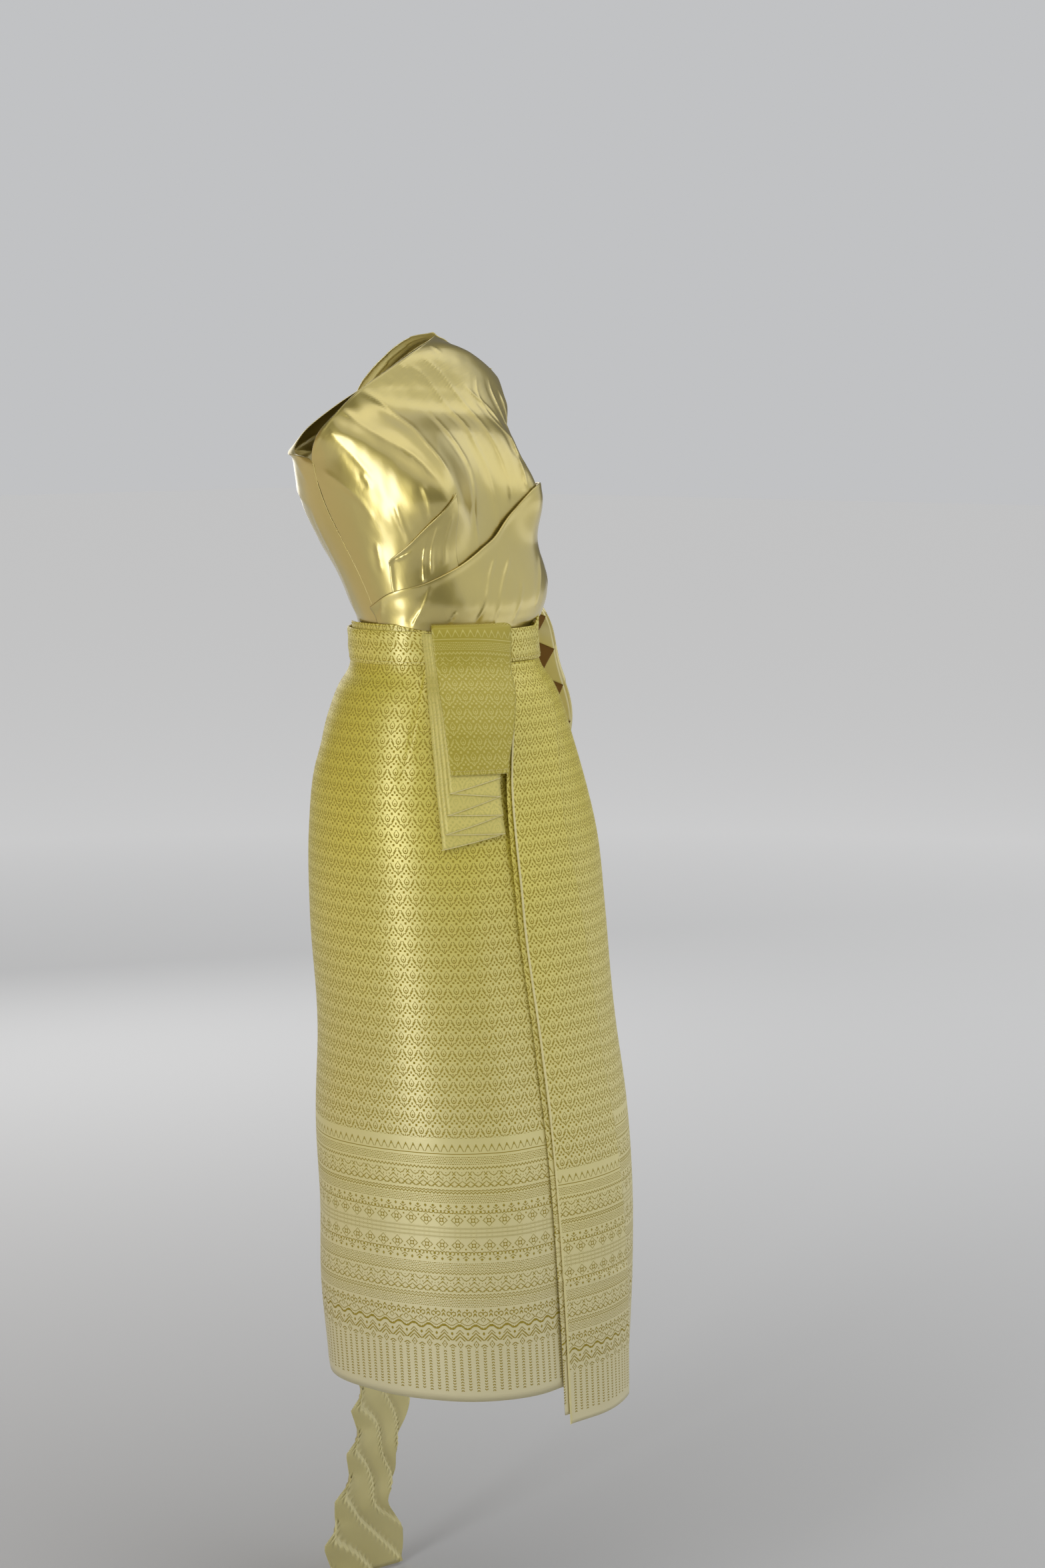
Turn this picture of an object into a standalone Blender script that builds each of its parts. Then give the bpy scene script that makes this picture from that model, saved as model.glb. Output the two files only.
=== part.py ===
"""A one-shoulder Thai court dress, hollow and standing as it is worn.

Metres, +Z up, the wearer faces -Y and the wearer's left is +X.
The origin is the middle of the waist at the top edge of the waistband.
The bodice and its sash are thin metallic cloth; the skirt, its front pleats and the
folded belt tab are stiff brocade.
"""

import math

import bmesh
import bpy
import numpy as np

LAME = 0.0012
BROCADE = 0.0016
BAND_WALL = 0.0030
SEAM_GAP = 0.0003
LOOSE_GAP = 0.0010
LAYER_STEP = 0.0026

BAND_HEIGHT = 0.040
PLEAT_LENGTH = 0.952
UNDERBAND_RISE = 0.007

GOLD_LAME = (0.62, 0.52, 0.22)
GOLD_BROCADE = (0.72, 0.62, 0.26)


def table(columns, rows):
    """A short table as one array for each named column."""
    return {name: np.array(values, float) for name, values in zip(columns.split(), zip(*rows))}


# The skirt's sections, from the waist down: half width across, half depth, and the middle.
SKIRT = table(
    "drop half_width half_depth middle_y squareness",
    [
        (-0.010, 0.1240, 0.1035, 0.000, 2.00),
        (0.020, 0.1243, 0.1038, -0.002, 2.00),
        (0.040, 0.1252, 0.1046, -0.004, 2.00),
        (0.052, 0.1290, 0.1085, -0.005, 2.00),
        (0.068, 0.1400, 0.1190, -0.006, 2.00),
        (0.100, 0.1540, 0.1330, -0.007, 2.00),
        (0.136, 0.1650, 0.1430, -0.007, 2.02),
        (0.169, 0.1740, 0.1510, -0.008, 2.05),
        (0.245, 0.1850, 0.1640, -0.016, 2.08),
        (0.347, 0.1890, 0.1690, -0.024, 2.10),
        (0.493, 0.1910, 0.1730, -0.038, 2.12),
        (0.594, 0.1985, 0.1815, -0.045, 2.14),
        (0.692, 0.1985, 0.1820, -0.052, 2.16),
        (0.793, 0.1980, 0.1820, -0.054, 2.16),
        (0.905, 0.1915, 0.1765, -0.057, 2.14),
        (0.960, 0.1895, 0.1745, -0.058, 2.12),
    ],
)

SKIRT_ROWS = SKIRT["drop"][2:-1]
SKIRT_COLUMNS = 29
BAND_ROWS = np.array([0.0, 0.012, 0.026, BAND_HEIGHT])

# Soft folds of the skirt, each a line from a top angle to a bottom angle round the body.
SKIRT_FOLDS = table(
    "top_angle top_drop bottom_angle bottom_drop half_angle height",
    [
        (-30, 0.20, -14, 0.72, 11, -0.0080),
        (-100, 0.45, -112, 0.96, 15, 0.0060),
        (-72, 0.50, -66, 0.96, 14, -0.0035),
        (-146, 0.40, -150, 0.96, 16, -0.0050),
        (170, 0.35, 176, 0.96, 14, 0.0050),
        (120, 0.40, 126, 0.96, 15, -0.0050),
        (80, 0.40, 74, 0.96, 13, 0.0050),
    ],
)

# The front panels of the bodice, row by row from the hidden lower edge to the shoulder
# seam: the end at the wearer's right, the end at the left, and the most forward point.
FRONT = table(
    "right_x right_y right_z left_x left_y left_z mid_y mid_z",
    [
        (-0.1155, 0.000, -0.060, 0.1155, 0.000, -0.060, -0.0955, -0.060),
        (-0.1160, -0.002, 0.000, 0.1160, -0.002, 0.000, -0.0960, 0.000),
        (-0.1180, 0.008, 0.030, 0.1180, 0.008, 0.030, -0.0945, 0.030),
        (-0.1250, 0.025, 0.070, 0.1250, 0.025, 0.070, -0.0840, 0.070),
        (-0.1330, 0.045, 0.110, 0.1330, 0.045, 0.110, -0.0740, 0.110),
        (-0.1400, 0.060, 0.143, 0.1400, 0.060, 0.143, -0.0650, 0.143),
        (-0.1445, 0.070, 0.172, 0.1445, 0.070, 0.172, -0.0560, 0.172),
        (-0.1470, 0.078, 0.200, 0.1470, 0.078, 0.200, -0.0420, 0.203),
        (-0.1490, 0.068, 0.230, 0.1500, 0.052, 0.222, -0.0240, 0.232),
        (-0.1360, 0.052, 0.254, 0.1500, 0.030, 0.243, 0.0000, 0.258),
        (-0.1120, 0.036, 0.281, 0.1510, 0.026, 0.262, 0.0100, 0.283),
        (-0.0680, 0.025, 0.307, 0.1540, 0.034, 0.279, 0.0180, 0.305),
        (-0.0240, 0.027, 0.327, 0.1600, 0.044, 0.292, 0.0290, 0.322),
        (0.0180, 0.041, 0.340, 0.1690, 0.056, 0.300, 0.0450, 0.333),
        (0.0620, 0.066, 0.350, 0.1760, 0.068, 0.305, 0.0670, 0.331),
    ],
)

# The back panel, row by row in the same way, with its rearmost point.
BACK = table(
    "right_x right_y right_z left_x left_y left_z mid_y mid_z",
    [
        (-0.1155, 0.000, -0.060, 0.1155, 0.000, -0.060, 0.0880, -0.060),
        (-0.1160, -0.002, 0.000, 0.1160, -0.002, 0.000, 0.0900, 0.000),
        (-0.1180, 0.008, 0.030, 0.1180, 0.008, 0.030, 0.1030, 0.030),
        (-0.1250, 0.025, 0.070, 0.1250, 0.025, 0.070, 0.1200, 0.070),
        (-0.1330, 0.045, 0.110, 0.1330, 0.045, 0.110, 0.1480, 0.110),
        (-0.1400, 0.060, 0.143, 0.1400, 0.060, 0.143, 0.1650, 0.143),
        (-0.1445, 0.070, 0.172, 0.1445, 0.070, 0.172, 0.1710, 0.172),
        (-0.1470, 0.078, 0.200, 0.1470, 0.078, 0.200, 0.1720, 0.203),
        (-0.1380, 0.112, 0.207, 0.1490, 0.100, 0.215, 0.1700, 0.214),
        (-0.1100, 0.138, 0.221, 0.1500, 0.112, 0.235, 0.1660, 0.231),
        (-0.0700, 0.152, 0.242, 0.1520, 0.112, 0.255, 0.1600, 0.251),
        (-0.0250, 0.150, 0.267, 0.1560, 0.104, 0.273, 0.1500, 0.273),
        (0.0200, 0.132, 0.296, 0.1630, 0.093, 0.288, 0.1300, 0.297),
        (0.0480, 0.100, 0.328, 0.1700, 0.080, 0.299, 0.1010, 0.319),
        (0.0620, 0.067, 0.350, 0.1760, 0.069, 0.305, 0.0680, 0.331),
    ],
)
TOP_ROW = 14.0
SIDE_SEAM_TOP_ROW = 7.0
SEAM_REACH = 0.10
SEAM_HOLD = 0.84
SEAM_FADE_ROWS = 1.5
LOW_BODICE_ROWS = [0, 0.95, 1.03, 1.12, 1.3, 1.7, 2.1, 2.6, 3.2, 3.8, 4.4, 5, 5.6, 6.3]
BODICE_ROWS = np.array(LOW_BODICE_ROWS + [7, 7.8, 8.6, 9.5, 10.4, 11.3, 12.2, 13.1, TOP_ROW])

# The two bust cups, raised from the front rows, and the fall of the cloth below the left one.
CUP = {"across": 0.085, "height": 0.160, "rise": 0.041, "half_width": 0.050, "below": 0.052, "above": 0.078}
FALL = {
    "across": 0.80,
    "half_width": 0.17,
    "height": 0.050,
    "half_height": 0.055,
    "out": 0.021,
    "end": 0.011,
}

# Rolled upper edges: rows of the front against the share of the way across.
WRAP_EDGE = table(
    "across row",
    [
        (0.00, 1.90),
        (0.08, 2.30),
        (0.23, 2.64),
        (0.35, 3.10),
        (0.44, 3.56),
        (0.52, 4.02),
        (0.59, 4.84),
        (0.65, 5.60),
        (0.74, 5.90),
        (0.86, 5.50),
        (1.00, 4.40),
    ],
)
ROLLED_EDGE = 0.0006
TUCK = table(
    "share low_row low_across high_row high_across",
    [
        (0.00, 1.95, 0.095, 3.30, 0.130),
        (0.33, 2.10, 0.180, 3.80, 0.203),
        (0.66, 2.30, 0.270, 4.62, 0.265),
        (1.00, 2.70, 0.355, 5.60, 0.332),
    ],
)

# The bodice's folds, each a line across the front view from one end to the other.
FRONT_FOLDS = table(
    "x1 z1 x2 z2 half_width height",
    [
        (-0.105, 0.275, -0.045, 0.125, 0.012, 0.0016),
        (-0.060, 0.305, 0.010, 0.120, 0.008, 0.0012),
        (-0.020, 0.320, 0.040, 0.110, 0.008, 0.0012),
        (0.020, 0.325, 0.075, 0.120, 0.008, 0.0012),
        (0.060, 0.330, 0.105, 0.140, 0.008, 0.0012),
        (0.105, 0.325, 0.128, 0.150, 0.007, 0.0010),
        (0.020, 0.070, -0.010, -0.020, 0.007, 0.0012),
        (0.060, 0.100, 0.045, -0.020, 0.008, 0.0012),
        (0.100, 0.110, 0.090, -0.020, 0.008, 0.0012),
    ],
)

# The front pleats: the two edges' angles and how far the nearer edge stands off.
PLEAT_EDGES = table(
    "drop right_edge left_edge stand",
    [
        (0.040, -11.0, 22.0, 0.000),
        (0.075, -12.5, 20.0, 0.004),
        (0.160, -18.0, 9.5, 0.006),
        (0.237, -20.7, 4.5, 0.004),
        (0.320, -19.5, 8.0, 0.002),
        (0.465, -16.5, 12.0, 0.001),
        (0.690, -13.5, 17.5, 0.001),
        (0.960, -8.0, 31.0, 0.001),
    ],
)
PLEAT_OUT = 0.0052
PLEAT_UNDER_OUT = 0.0026
PLEAT_UNDER_INSET = -1.9
PLEAT_UNDER_LENGTH = 0.940

UNDERLAP = {"first": -126.0, "last": -53.0, "depth": 0.030}

# The belt's folded end in front, from the band down.
TAB_EDGES = table(
    "drop right_edge left_edge",
    [
        (0.000, -50.0, -6.0),
        (0.040, -49.0, -8.0),
        (0.100, -46.5, -15.0),
        (0.160, -44.0, -21.0),
        (0.245, -43.5, -23.0),
    ],
)
TAB = {
    "layers": 7,
    "pitch": 0.0017,
    "wall": 0.0010,
    "top": 0.002,
    "flap_bottom": 0.163,
    "turn_bottoms": np.array([0.1680, 0.1835, 0.1894, 0.2087, 0.2110, 0.2310, 0.2330, 0.2490]),
    "slant_top": 0.100,
    "slant_rows": [0.172, 0.210, 0.249],
    "fan": 6.0,
    "inset": 6.0,
}
TAB_BASE = BAND_WALL + SEAM_GAP + LOOSE_GAP
TAB_STACK = TAB["layers"] * TAB["pitch"]
TAB_ROWS = np.concatenate([[TAB["top"], 0.020], SKIRT_ROWS[SKIRT_ROWS < TAB["flap_bottom"]]])

# The sash, from the shoulder seam to its end: its two edges, its bow and its folds' depth.
SASH = table(
    "z left_x left_y left_rise right_x right_y right_rise bow fold",
    [
        (0.3375, 0.175, 0.0705, -0.027, 0.063, 0.0705, 0.017, 0.000, 0.0006),
        (0.3350, 0.174, 0.0920, -0.020, 0.056, 0.1120, 0.009, 0.003, 0.0020),
        (0.3030, 0.171, 0.1080, -0.006, 0.040, 0.1520, 0.006, 0.006, 0.0030),
        (0.2700, 0.168, 0.1220, 0.000, 0.036, 0.1790, 0.000, 0.008, 0.0040),
        (0.2150, 0.167, 0.1280, 0.000, 0.040, 0.1960, 0.000, 0.012, 0.0050),
        (0.1400, 0.175, 0.1020, 0.000, 0.046, 0.1860, 0.000, 0.018, 0.0060),
        (0.0600, 0.188, 0.0450, 0.000, 0.050, 0.1620, 0.000, 0.022, 0.0070),
        (0.0000, 0.193, -0.0040, 0.000, 0.052, 0.1480, 0.000, 0.026, 0.0080),
        (-0.0600, 0.206, -0.0120, 0.000, 0.050, 0.1560, 0.000, 0.028, 0.0080),
        (-0.1400, 0.234, -0.0120, 0.000, 0.045, 0.1760, 0.000, 0.030, 0.0080),
        (-0.2500, 0.236, 0.0300, 0.000, 0.040, 0.1880, 0.000, 0.028, 0.0080),
        (-0.4000, 0.207, 0.0950, 0.000, 0.032, 0.1930, 0.000, 0.018, 0.0090),
        (-0.6000, 0.172, 0.1500, 0.000, 0.022, 0.1940, 0.000, 0.008, 0.0090),
        (-0.8000, 0.150, 0.1720, 0.000, 0.016, 0.1950, 0.000, 0.002, 0.0090),
        (-1.0000, 0.128, 0.1840, 0.000, 0.014, 0.1960, 0.000, 0.000, 0.0090),
        (-1.1400, 0.120, 0.1880, 0.000, 0.014, 0.1970, 0.000, 0.000, 0.0090),
        (-1.2850, 0.116, 0.1900, 0.000, 0.012, 0.1980, 0.000, 0.000, 0.0090),
    ],
)
SASH_ROWS = 37
SASH_FOLDS = 5


def smooth_step(value):
    value = np.clip(value, 0.0, 1.0)
    return value * value * (3.0 - 2.0 * value)


def bump(value):
    return np.exp(-np.square(value))


def through(knots, values, at):
    """A smooth curve through the values at the knots, read at other places."""
    at = np.clip(at, knots[0], knots[-1])
    slopes = np.gradient(values, knots)
    index = np.clip(np.searchsorted(knots, at) - 1, 0, len(knots) - 2)
    span = knots[index + 1] - knots[index]
    share = (at - knots[index]) / span
    square, cube = share**2, share**3
    start = (2 * cube - 3 * square + 1) * values[index] + (cube - 2 * square + share) * span * slopes[index]
    end = (3 * square - 2 * cube) * values[index + 1] + (cube - square) * span * slopes[index + 1]
    return start + end


def read(columns, key, name, at):
    return through(columns[key], columns[name], at)


def normals_of(points):
    """Unit normals of a grid of points, by its neighbours along both ways."""
    along = np.gradient(points, axis=0)
    across = np.gradient(points, axis=1)
    normals = np.cross(along, across)
    return normals / np.maximum(np.linalg.norm(normals, axis=2, keepdims=True), 1e-12)


def moved_out(points, distance):
    distance = np.broadcast_to(np.asarray(distance, float), points.shape[:2])
    return points + normals_of(points) * distance[..., None]


def panel_rows(rows, across, row):
    """Points of a bodice panel: across runs from the wearer's right (0) to the left (1)."""
    index = np.arange(len(rows["mid_y"]), dtype=float)
    value = {name: through(index, column, row) for name, column in rows.items()}
    flat = smooth_step((row - SIDE_SEAM_TOP_ROW) / 4.0)
    full = 0.1 * smooth_step((row - 1.2) / 2.0)
    side = (1.0 - flat) * np.sin((across - 0.5) * math.pi) + flat * (2.0 * across - 1.0)
    middle = np.maximum(1.0 - side**2, 0.0) ** ((1.0 + flat - full) / 2.0)
    parts = []
    for axis in "xyz":
        right, left = value["right_" + axis], value["left_" + axis]
        centre, half = (right + left) / 2, (left - right) / 2
        reach = value["mid_" + axis] - centre if axis != "x" else 0.0
        parts.append(centre + half * side + reach * middle)
    return np.stack(parts, axis=-1)


def clear_of_seam(across, row):
    """Nearly 0 at the side seams, where the front has to meet the back, and 1 away from them."""
    beside = 1.0 - smooth_step(np.minimum(across, 1.0 - across) / SEAM_REACH)
    return 1.0 - SEAM_HOLD * beside * (1.0 - smooth_step((row - SIDE_SEAM_TOP_ROW) / SEAM_FADE_ROWS))


def front_form(across, row):
    """The front's outer form: its rows, the two cups, and the cloth's fall below the left one."""
    points = panel_rows(FRONT, across, row)
    x, z = points[..., 0], points[..., 2]
    lift = np.zeros_like(x)
    for side in (-1, 1):
        half_height = np.where(z > CUP["height"], CUP["above"], CUP["below"])
        sideways = bump((x - side * CUP["across"]) / CUP["half_width"])
        lift += sideways * bump((z - CUP["height"]) / half_height)
    fall = bump((across - FALL["across"]) / FALL["half_width"])
    fall *= bump((z - FALL["height"]) / FALL["half_height"])
    fall *= smooth_step(z / FALL["end"])
    points[..., 1] -= CUP["rise"] * np.minimum(lift, 1.0) * clear_of_seam(across, row)
    return moved_out(points, FALL["out"] * fall)


def back_form(across, row):
    return panel_rows(BACK, across, row)


def skirt_form(angle, drop, out=0.0):
    """A point of the skirt's outer face; angle 0 is the front and +90 the wearer's left."""
    width = read(SKIRT, "drop", "half_width", drop)
    depth = read(SKIRT, "drop", "half_depth", drop)
    middle = read(SKIRT, "drop", "middle_y", drop)
    power = 2.0 / read(SKIRT, "drop", "squareness", drop)
    turn = np.radians(angle)
    side, front = np.sin(turn), np.cos(turn)
    relief = np.zeros_like(side * drop) + out
    for fold in zip(*SKIRT_FOLDS.values()):
        top_angle, top_drop, bottom_angle, bottom_drop, half_angle, height = fold
        share = (drop - top_drop) / (bottom_drop - top_drop)
        centre = top_angle + (bottom_angle - top_angle) * share
        away = (angle - centre + 180.0) % 360.0 - 180.0
        relief += height * bump(away / half_angle) * smooth_step(share * 2.5)
    x = (width + relief) * np.sign(side) * np.abs(side) ** power
    y = middle - (depth + relief) * np.sign(front) * np.abs(front) ** power
    return np.stack([x, y, -drop + 0.0 * x], axis=-1)


def grid(first, second):
    return np.meshgrid(first, second, indexing="ij")


def material(name, colour, metallic, roughness):
    made = bpy.data.materials.new(name)
    made.use_nodes = True
    shader = made.node_tree.nodes["Principled BSDF"]
    shader.inputs["Base Color"].default_value = (*colour, 1.0)
    shader.inputs["Metallic"].default_value = metallic
    shader.inputs["Roughness"].default_value = roughness
    return made


def sheet(name, points, thickness, finish, offset=-1.0):
    """One piece of cloth: a grid of points, given a wall inwards or about its middle."""
    rows, columns = points.shape[:2]
    bm = bmesh.new()
    verts = [[bm.verts.new(points[i, j]) for j in range(columns)] for i in range(rows)]
    for i in range(rows - 1):
        for j in range(columns - 1):
            bm.faces.new((verts[i][j], verts[i + 1][j], verts[i + 1][j + 1], verts[i][j + 1]))
    mesh = bpy.data.meshes.new(name)
    bm.to_mesh(mesh)
    bm.free()
    mesh.materials.append(finish)
    mesh.shade_smooth()
    made = bpy.data.objects.new(name, mesh)
    bpy.context.scene.collection.objects.link(made)
    wall = made.modifiers.new("Wall", "SOLIDIFY")
    wall.thickness = thickness
    wall.offset = offset
    wall.use_even_offset = True
    return made


def fold_relief(points, folds):
    """How far out the folds push each point; each fold is a line across the front view."""
    relief = np.zeros(points.shape[:2])
    for x1, z1, x2, z2, half_width, height in zip(*folds.values()):
        way = np.array([x2 - x1, z2 - z1])
        length = np.linalg.norm(way)
        way = way / length
        from_start = points[..., [0, 2]] - np.array([x1, z1])
        along = from_start @ way
        away = from_start @ np.array([way[1], -way[0]])
        ends = smooth_step(along / 0.03 + 0.5) * smooth_step((length - along) / 0.03 + 0.5)
        relief += height * bump(away / half_width) * ends
    return relief


def front_piece(across, row, out):
    points = front_form(across, row)
    points = moved_out(points, fold_relief(points, FRONT_FOLDS) + out)
    points[..., 1] -= SEAM_GAP
    return points


def front_drape():
    across, row = grid(np.linspace(0, 1, 27), BODICE_ROWS)
    return front_piece(across, row, 0.0)


def mid_tuck():
    share, level = grid(np.linspace(0, 1, 11), np.linspace(0, 1, 10))
    low, high = read(TUCK, "share", "low_row", share), read(TUCK, "share", "high_row", share)
    left, right = read(TUCK, "share", "low_across", share), read(TUCK, "share", "high_across", share)
    return front_piece(left + (right - left) * level, low + (high - low) * level, LAYER_STEP + ROLLED_EDGE)


def lower_wrap():
    across, level = grid(np.linspace(0, 1, 27), np.arange(10))
    top = read(WRAP_EDGE, "across", "row", across)
    low = BODICE_ROWS[level.clip(0, 4)]
    row = low + (top - low) * (level - 4).clip(0) / 5.0
    roll = ROLLED_EDGE * bump((top - row) / 0.5)
    return front_piece(across, row, LAYER_STEP * (1.0 + smooth_step(row - 1.2)) + roll)


def back():
    row, across = grid(BODICE_ROWS, np.linspace(0, 1, 17))
    points = back_form(across, row)
    points[..., 1] += SEAM_GAP
    return points


def skirt_half(first_angle, last_angle, columns):
    drops = np.concatenate([BAND_ROWS[1:-1], SKIRT_ROWS])
    drop, angle = grid(drops, np.linspace(first_angle, last_angle, columns))
    return skirt_form(angle, drop)


def band(first_angle, last_angle, columns):
    drop, angle = grid(BAND_ROWS, np.linspace(first_angle, last_angle, columns))
    return skirt_form(angle, drop, SEAM_GAP + BAND_WALL)


def underlap():
    level, angle = grid(np.linspace(0, 1, 3), np.linspace(UNDERLAP["first"], UNDERLAP["last"], 15))
    rise = UNDERBAND_RISE * smooth_step((UNDERLAP["last"] - angle) / 25.0) + 0.0005
    drop = -rise + level * (UNDERLAP["depth"] + rise)
    return skirt_form(angle, drop, -BROCADE - SEAM_GAP)


def pleat(columns, key_drops, inset, out):
    """A front pleat: its edges' angles are read down the skirt."""
    drop, share = grid(key_drops, np.linspace(0, 1, columns))
    start = read(PLEAT_EDGES, "drop", "right_edge", drop) + inset
    end = read(PLEAT_EDGES, "drop", "left_edge", drop) - abs(inset)
    angle = start + (end - start) * share
    stand = read(PLEAT_EDGES, "drop", "stand", drop) * (1.0 - share) ** 3
    return skirt_form(angle, drop, out + stand)


def tab_edges(drop):
    return read(TAB_EDGES, "drop", "right_edge", drop), read(TAB_EDGES, "drop", "left_edge", drop)


def tab_flap():
    """The flap's path: up inside the band, over its top edge and down outside."""
    inside = -2 * BROCADE - LOOSE_GAP
    outside = TAB_BASE + TAB_STACK + LOOSE_GAP + BROCADE
    path = [(0.024, inside), (0.004, inside)]
    for step in range(5):
        turn = math.pi * (step + 0.5) / 5
        middle, reach = (outside + inside) / 2, (outside - inside) / 2
        path.append((-0.0035 - 0.0045 * math.sin(turn), middle - reach * math.cos(turn)))
    path += [(drop, outside) for drop in TAB_ROWS[1:]]
    path.append((TAB["flap_bottom"], outside))
    drops, outs = np.array(path).T
    drop, share = grid(drops, np.linspace(0, 1, 8))
    out, _ = grid(outs, np.linspace(0, 1, 8))
    right, left = tab_edges(np.maximum(drop, 0.0))
    return skirt_form(right + (left - right) * share, drop, out)


def tab_folds():
    """The pleated rest of the belt's end: one strip folded to and fro, its end cut on a slant."""
    path = []
    for layer in range(TAB["layers"]):
        depth = TAB_BASE + TAB_STACK - (layer + 0.5) * TAB["pitch"]
        for level in np.linspace(0.0, 1.0, 6):
            path.append((level if layer % 2 else 1.0 - level, depth, layer + level))
    share, depth, turn = np.array(path).T
    drops = np.append(TAB_ROWS, TAB["slant_rows"])
    drop, share_at = grid(drops, share)
    _, depth_at = grid(drops, depth)
    _, turn_at = grid(drops, turn)
    bottom = np.interp(turn_at, np.arange(len(TAB["turn_bottoms"])), TAB["turn_bottoms"])
    slant_top = TAB["slant_top"]
    shortened = (bottom - slant_top) / (drops[-1] - slant_top)
    drop = np.minimum(drop, slant_top) + np.maximum(drop - slant_top, 0.0) * shortened
    right, left = tab_edges(drop)
    right = right - TAB["fan"] * turn_at / TAB["layers"]
    left = left - TAB["inset"] * (1.0 - 0.75 * drop / drops[-1])
    return skirt_form(right + (left - right) * share_at, drop, depth_at)


def sash():
    """The shoulder cloth: pleated at the shoulder seam, fanned at the hip, then hanging free."""
    step, share = grid(np.linspace(0, 1, SASH_ROWS), np.linspace(0, 1, SASH_FOLDS * 4 + 1))
    index = step * (len(SASH["z"]) - 1)
    knots = np.arange(len(SASH["z"]), dtype=float)
    value = {name: through(knots, column, index) for name, column in SASH.items()}
    near = np.stack([value["left_x"], value["left_y"], value["z"] + value["left_rise"]], axis=-1)
    far = np.stack([value["right_x"], value["right_y"], value["z"] + value["right_rise"]], axis=-1)
    points = near + (far - near) * share[..., None]
    out = value["bow"] * np.sin(math.pi * share)
    fold = value["fold"] * np.cos(2 * math.pi * SASH_FOLDS * share)
    points = moved_out(points, out)
    points = moved_out(points, fold)
    return points


def main():
    for old in list(bpy.data.objects):
        bpy.data.objects.remove(old, do_unlink=True)
    lame = [GOLD_LAME, 0.85, 0.28]
    brocade = [GOLD_BROCADE, 0.35, 0.42]
    seam = math.degrees(SEAM_GAP / 2 / SKIRT["half_depth"][0])
    pleat_drops = np.append(SKIRT_ROWS, PLEAT_LENGTH)
    pleat_drops[0] += SEAM_GAP
    under_drops = np.append(pleat_drops[:-1], PLEAT_UNDER_LENGTH)

    pieces = [
        ("bodice_front_drape", front_drape(), LAME, lame),
        ("bodice_mid_tuck", mid_tuck(), LAME, lame),
        ("bodice_lower_wrap", lower_wrap(), LAME, lame),
        ("bodice_back", back(), LAME, lame),
        ("sash", sash(), LAME, lame),
        ("skirt_right", skirt_half(-180.0 + seam, -seam, SKIRT_COLUMNS), BROCADE, brocade),
        ("skirt_left", skirt_half(seam, 180.0 - seam, SKIRT_COLUMNS), BROCADE, brocade),
        ("waistband", band(seam, 360.0 - seam, 2 * SKIRT_COLUMNS - 1), BAND_WALL, brocade),
        ("waistband_underlap", underlap(), BROCADE, brocade),
        ("pleat_under", pleat(7, under_drops, PLEAT_UNDER_INSET, PLEAT_UNDER_OUT), BROCADE, brocade),
        ("pleat_outer", pleat(8, pleat_drops, 0.0, PLEAT_OUT), BROCADE, brocade),
        ("tab_flap", tab_flap(), BROCADE, brocade),
    ]
    for name, points, thickness, look in pieces:
        sheet(name, points, thickness, material("Cloth of " + name, *look))
    sheet("tab_folds", tab_folds(), TAB["wall"], material("Cloth of tab_folds", *brocade), 0.0)


main()
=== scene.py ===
# Chut thai dress: the looks of the cloth, its folds, weave and sewing
import math

import bpy
import numpy as np
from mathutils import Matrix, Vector


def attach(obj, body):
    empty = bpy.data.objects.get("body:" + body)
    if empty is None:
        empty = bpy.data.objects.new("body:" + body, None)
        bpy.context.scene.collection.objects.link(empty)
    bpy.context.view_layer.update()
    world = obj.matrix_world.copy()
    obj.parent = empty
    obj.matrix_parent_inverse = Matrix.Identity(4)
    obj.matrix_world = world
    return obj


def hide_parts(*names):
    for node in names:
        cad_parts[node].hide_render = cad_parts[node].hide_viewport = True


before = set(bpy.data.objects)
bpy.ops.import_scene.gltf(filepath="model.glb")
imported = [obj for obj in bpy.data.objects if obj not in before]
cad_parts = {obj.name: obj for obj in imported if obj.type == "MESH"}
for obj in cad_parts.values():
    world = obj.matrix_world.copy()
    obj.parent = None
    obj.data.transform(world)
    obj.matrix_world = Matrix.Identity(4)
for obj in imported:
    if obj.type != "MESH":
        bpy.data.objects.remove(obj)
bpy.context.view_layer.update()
print("frame loaded")

lameWall = 0.0008
brocadeWall = 0.0010
seamGap = 0.0003
looseGap = 0.0010
layerStep = 0.0026
hemDrop = 0.905


def table(columns, rows):
    return {name: np.array(values, float) for name, values in zip(columns.split(), zip(*rows))}


def smoothStep(value):
    value = np.clip(value, 0.0, 1.0)
    return value * value * (3.0 - 2.0 * value)


def bump(value):
    return np.exp(-np.square(value))


def through(knots, values, at):
    at = np.clip(at, knots[0], knots[-1])
    slopes = np.gradient(values, knots)
    index = np.clip(np.searchsorted(knots, at) - 1, 0, len(knots) - 2)
    span = knots[index + 1] - knots[index]
    share = (at - knots[index]) / span
    square, cube = share**2, share**3
    start = (2 * cube - 3 * square + 1) * values[index] + (cube - 2 * square + share) * span * slopes[index]
    end = (3 * square - 2 * cube) * values[index + 1] + (cube - square) * span * slopes[index + 1]
    return start + end


def read(columns, key, name, at):
    return through(columns[key], columns[name], at)


def grid(first, second):
    return np.meshgrid(first, second, indexing="ij")


def normalsOf(points):
    along = np.gradient(points, axis=0)
    across = np.gradient(points, axis=1)
    normals = np.cross(along, across)
    return normals / np.maximum(np.linalg.norm(normals, axis=2, keepdims=True), 1e-12)


def movedOut(points, distance):
    distance = np.broadcast_to(np.asarray(distance, float), points.shape[:2])
    return points + normalsOf(points) * distance[..., None]


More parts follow.
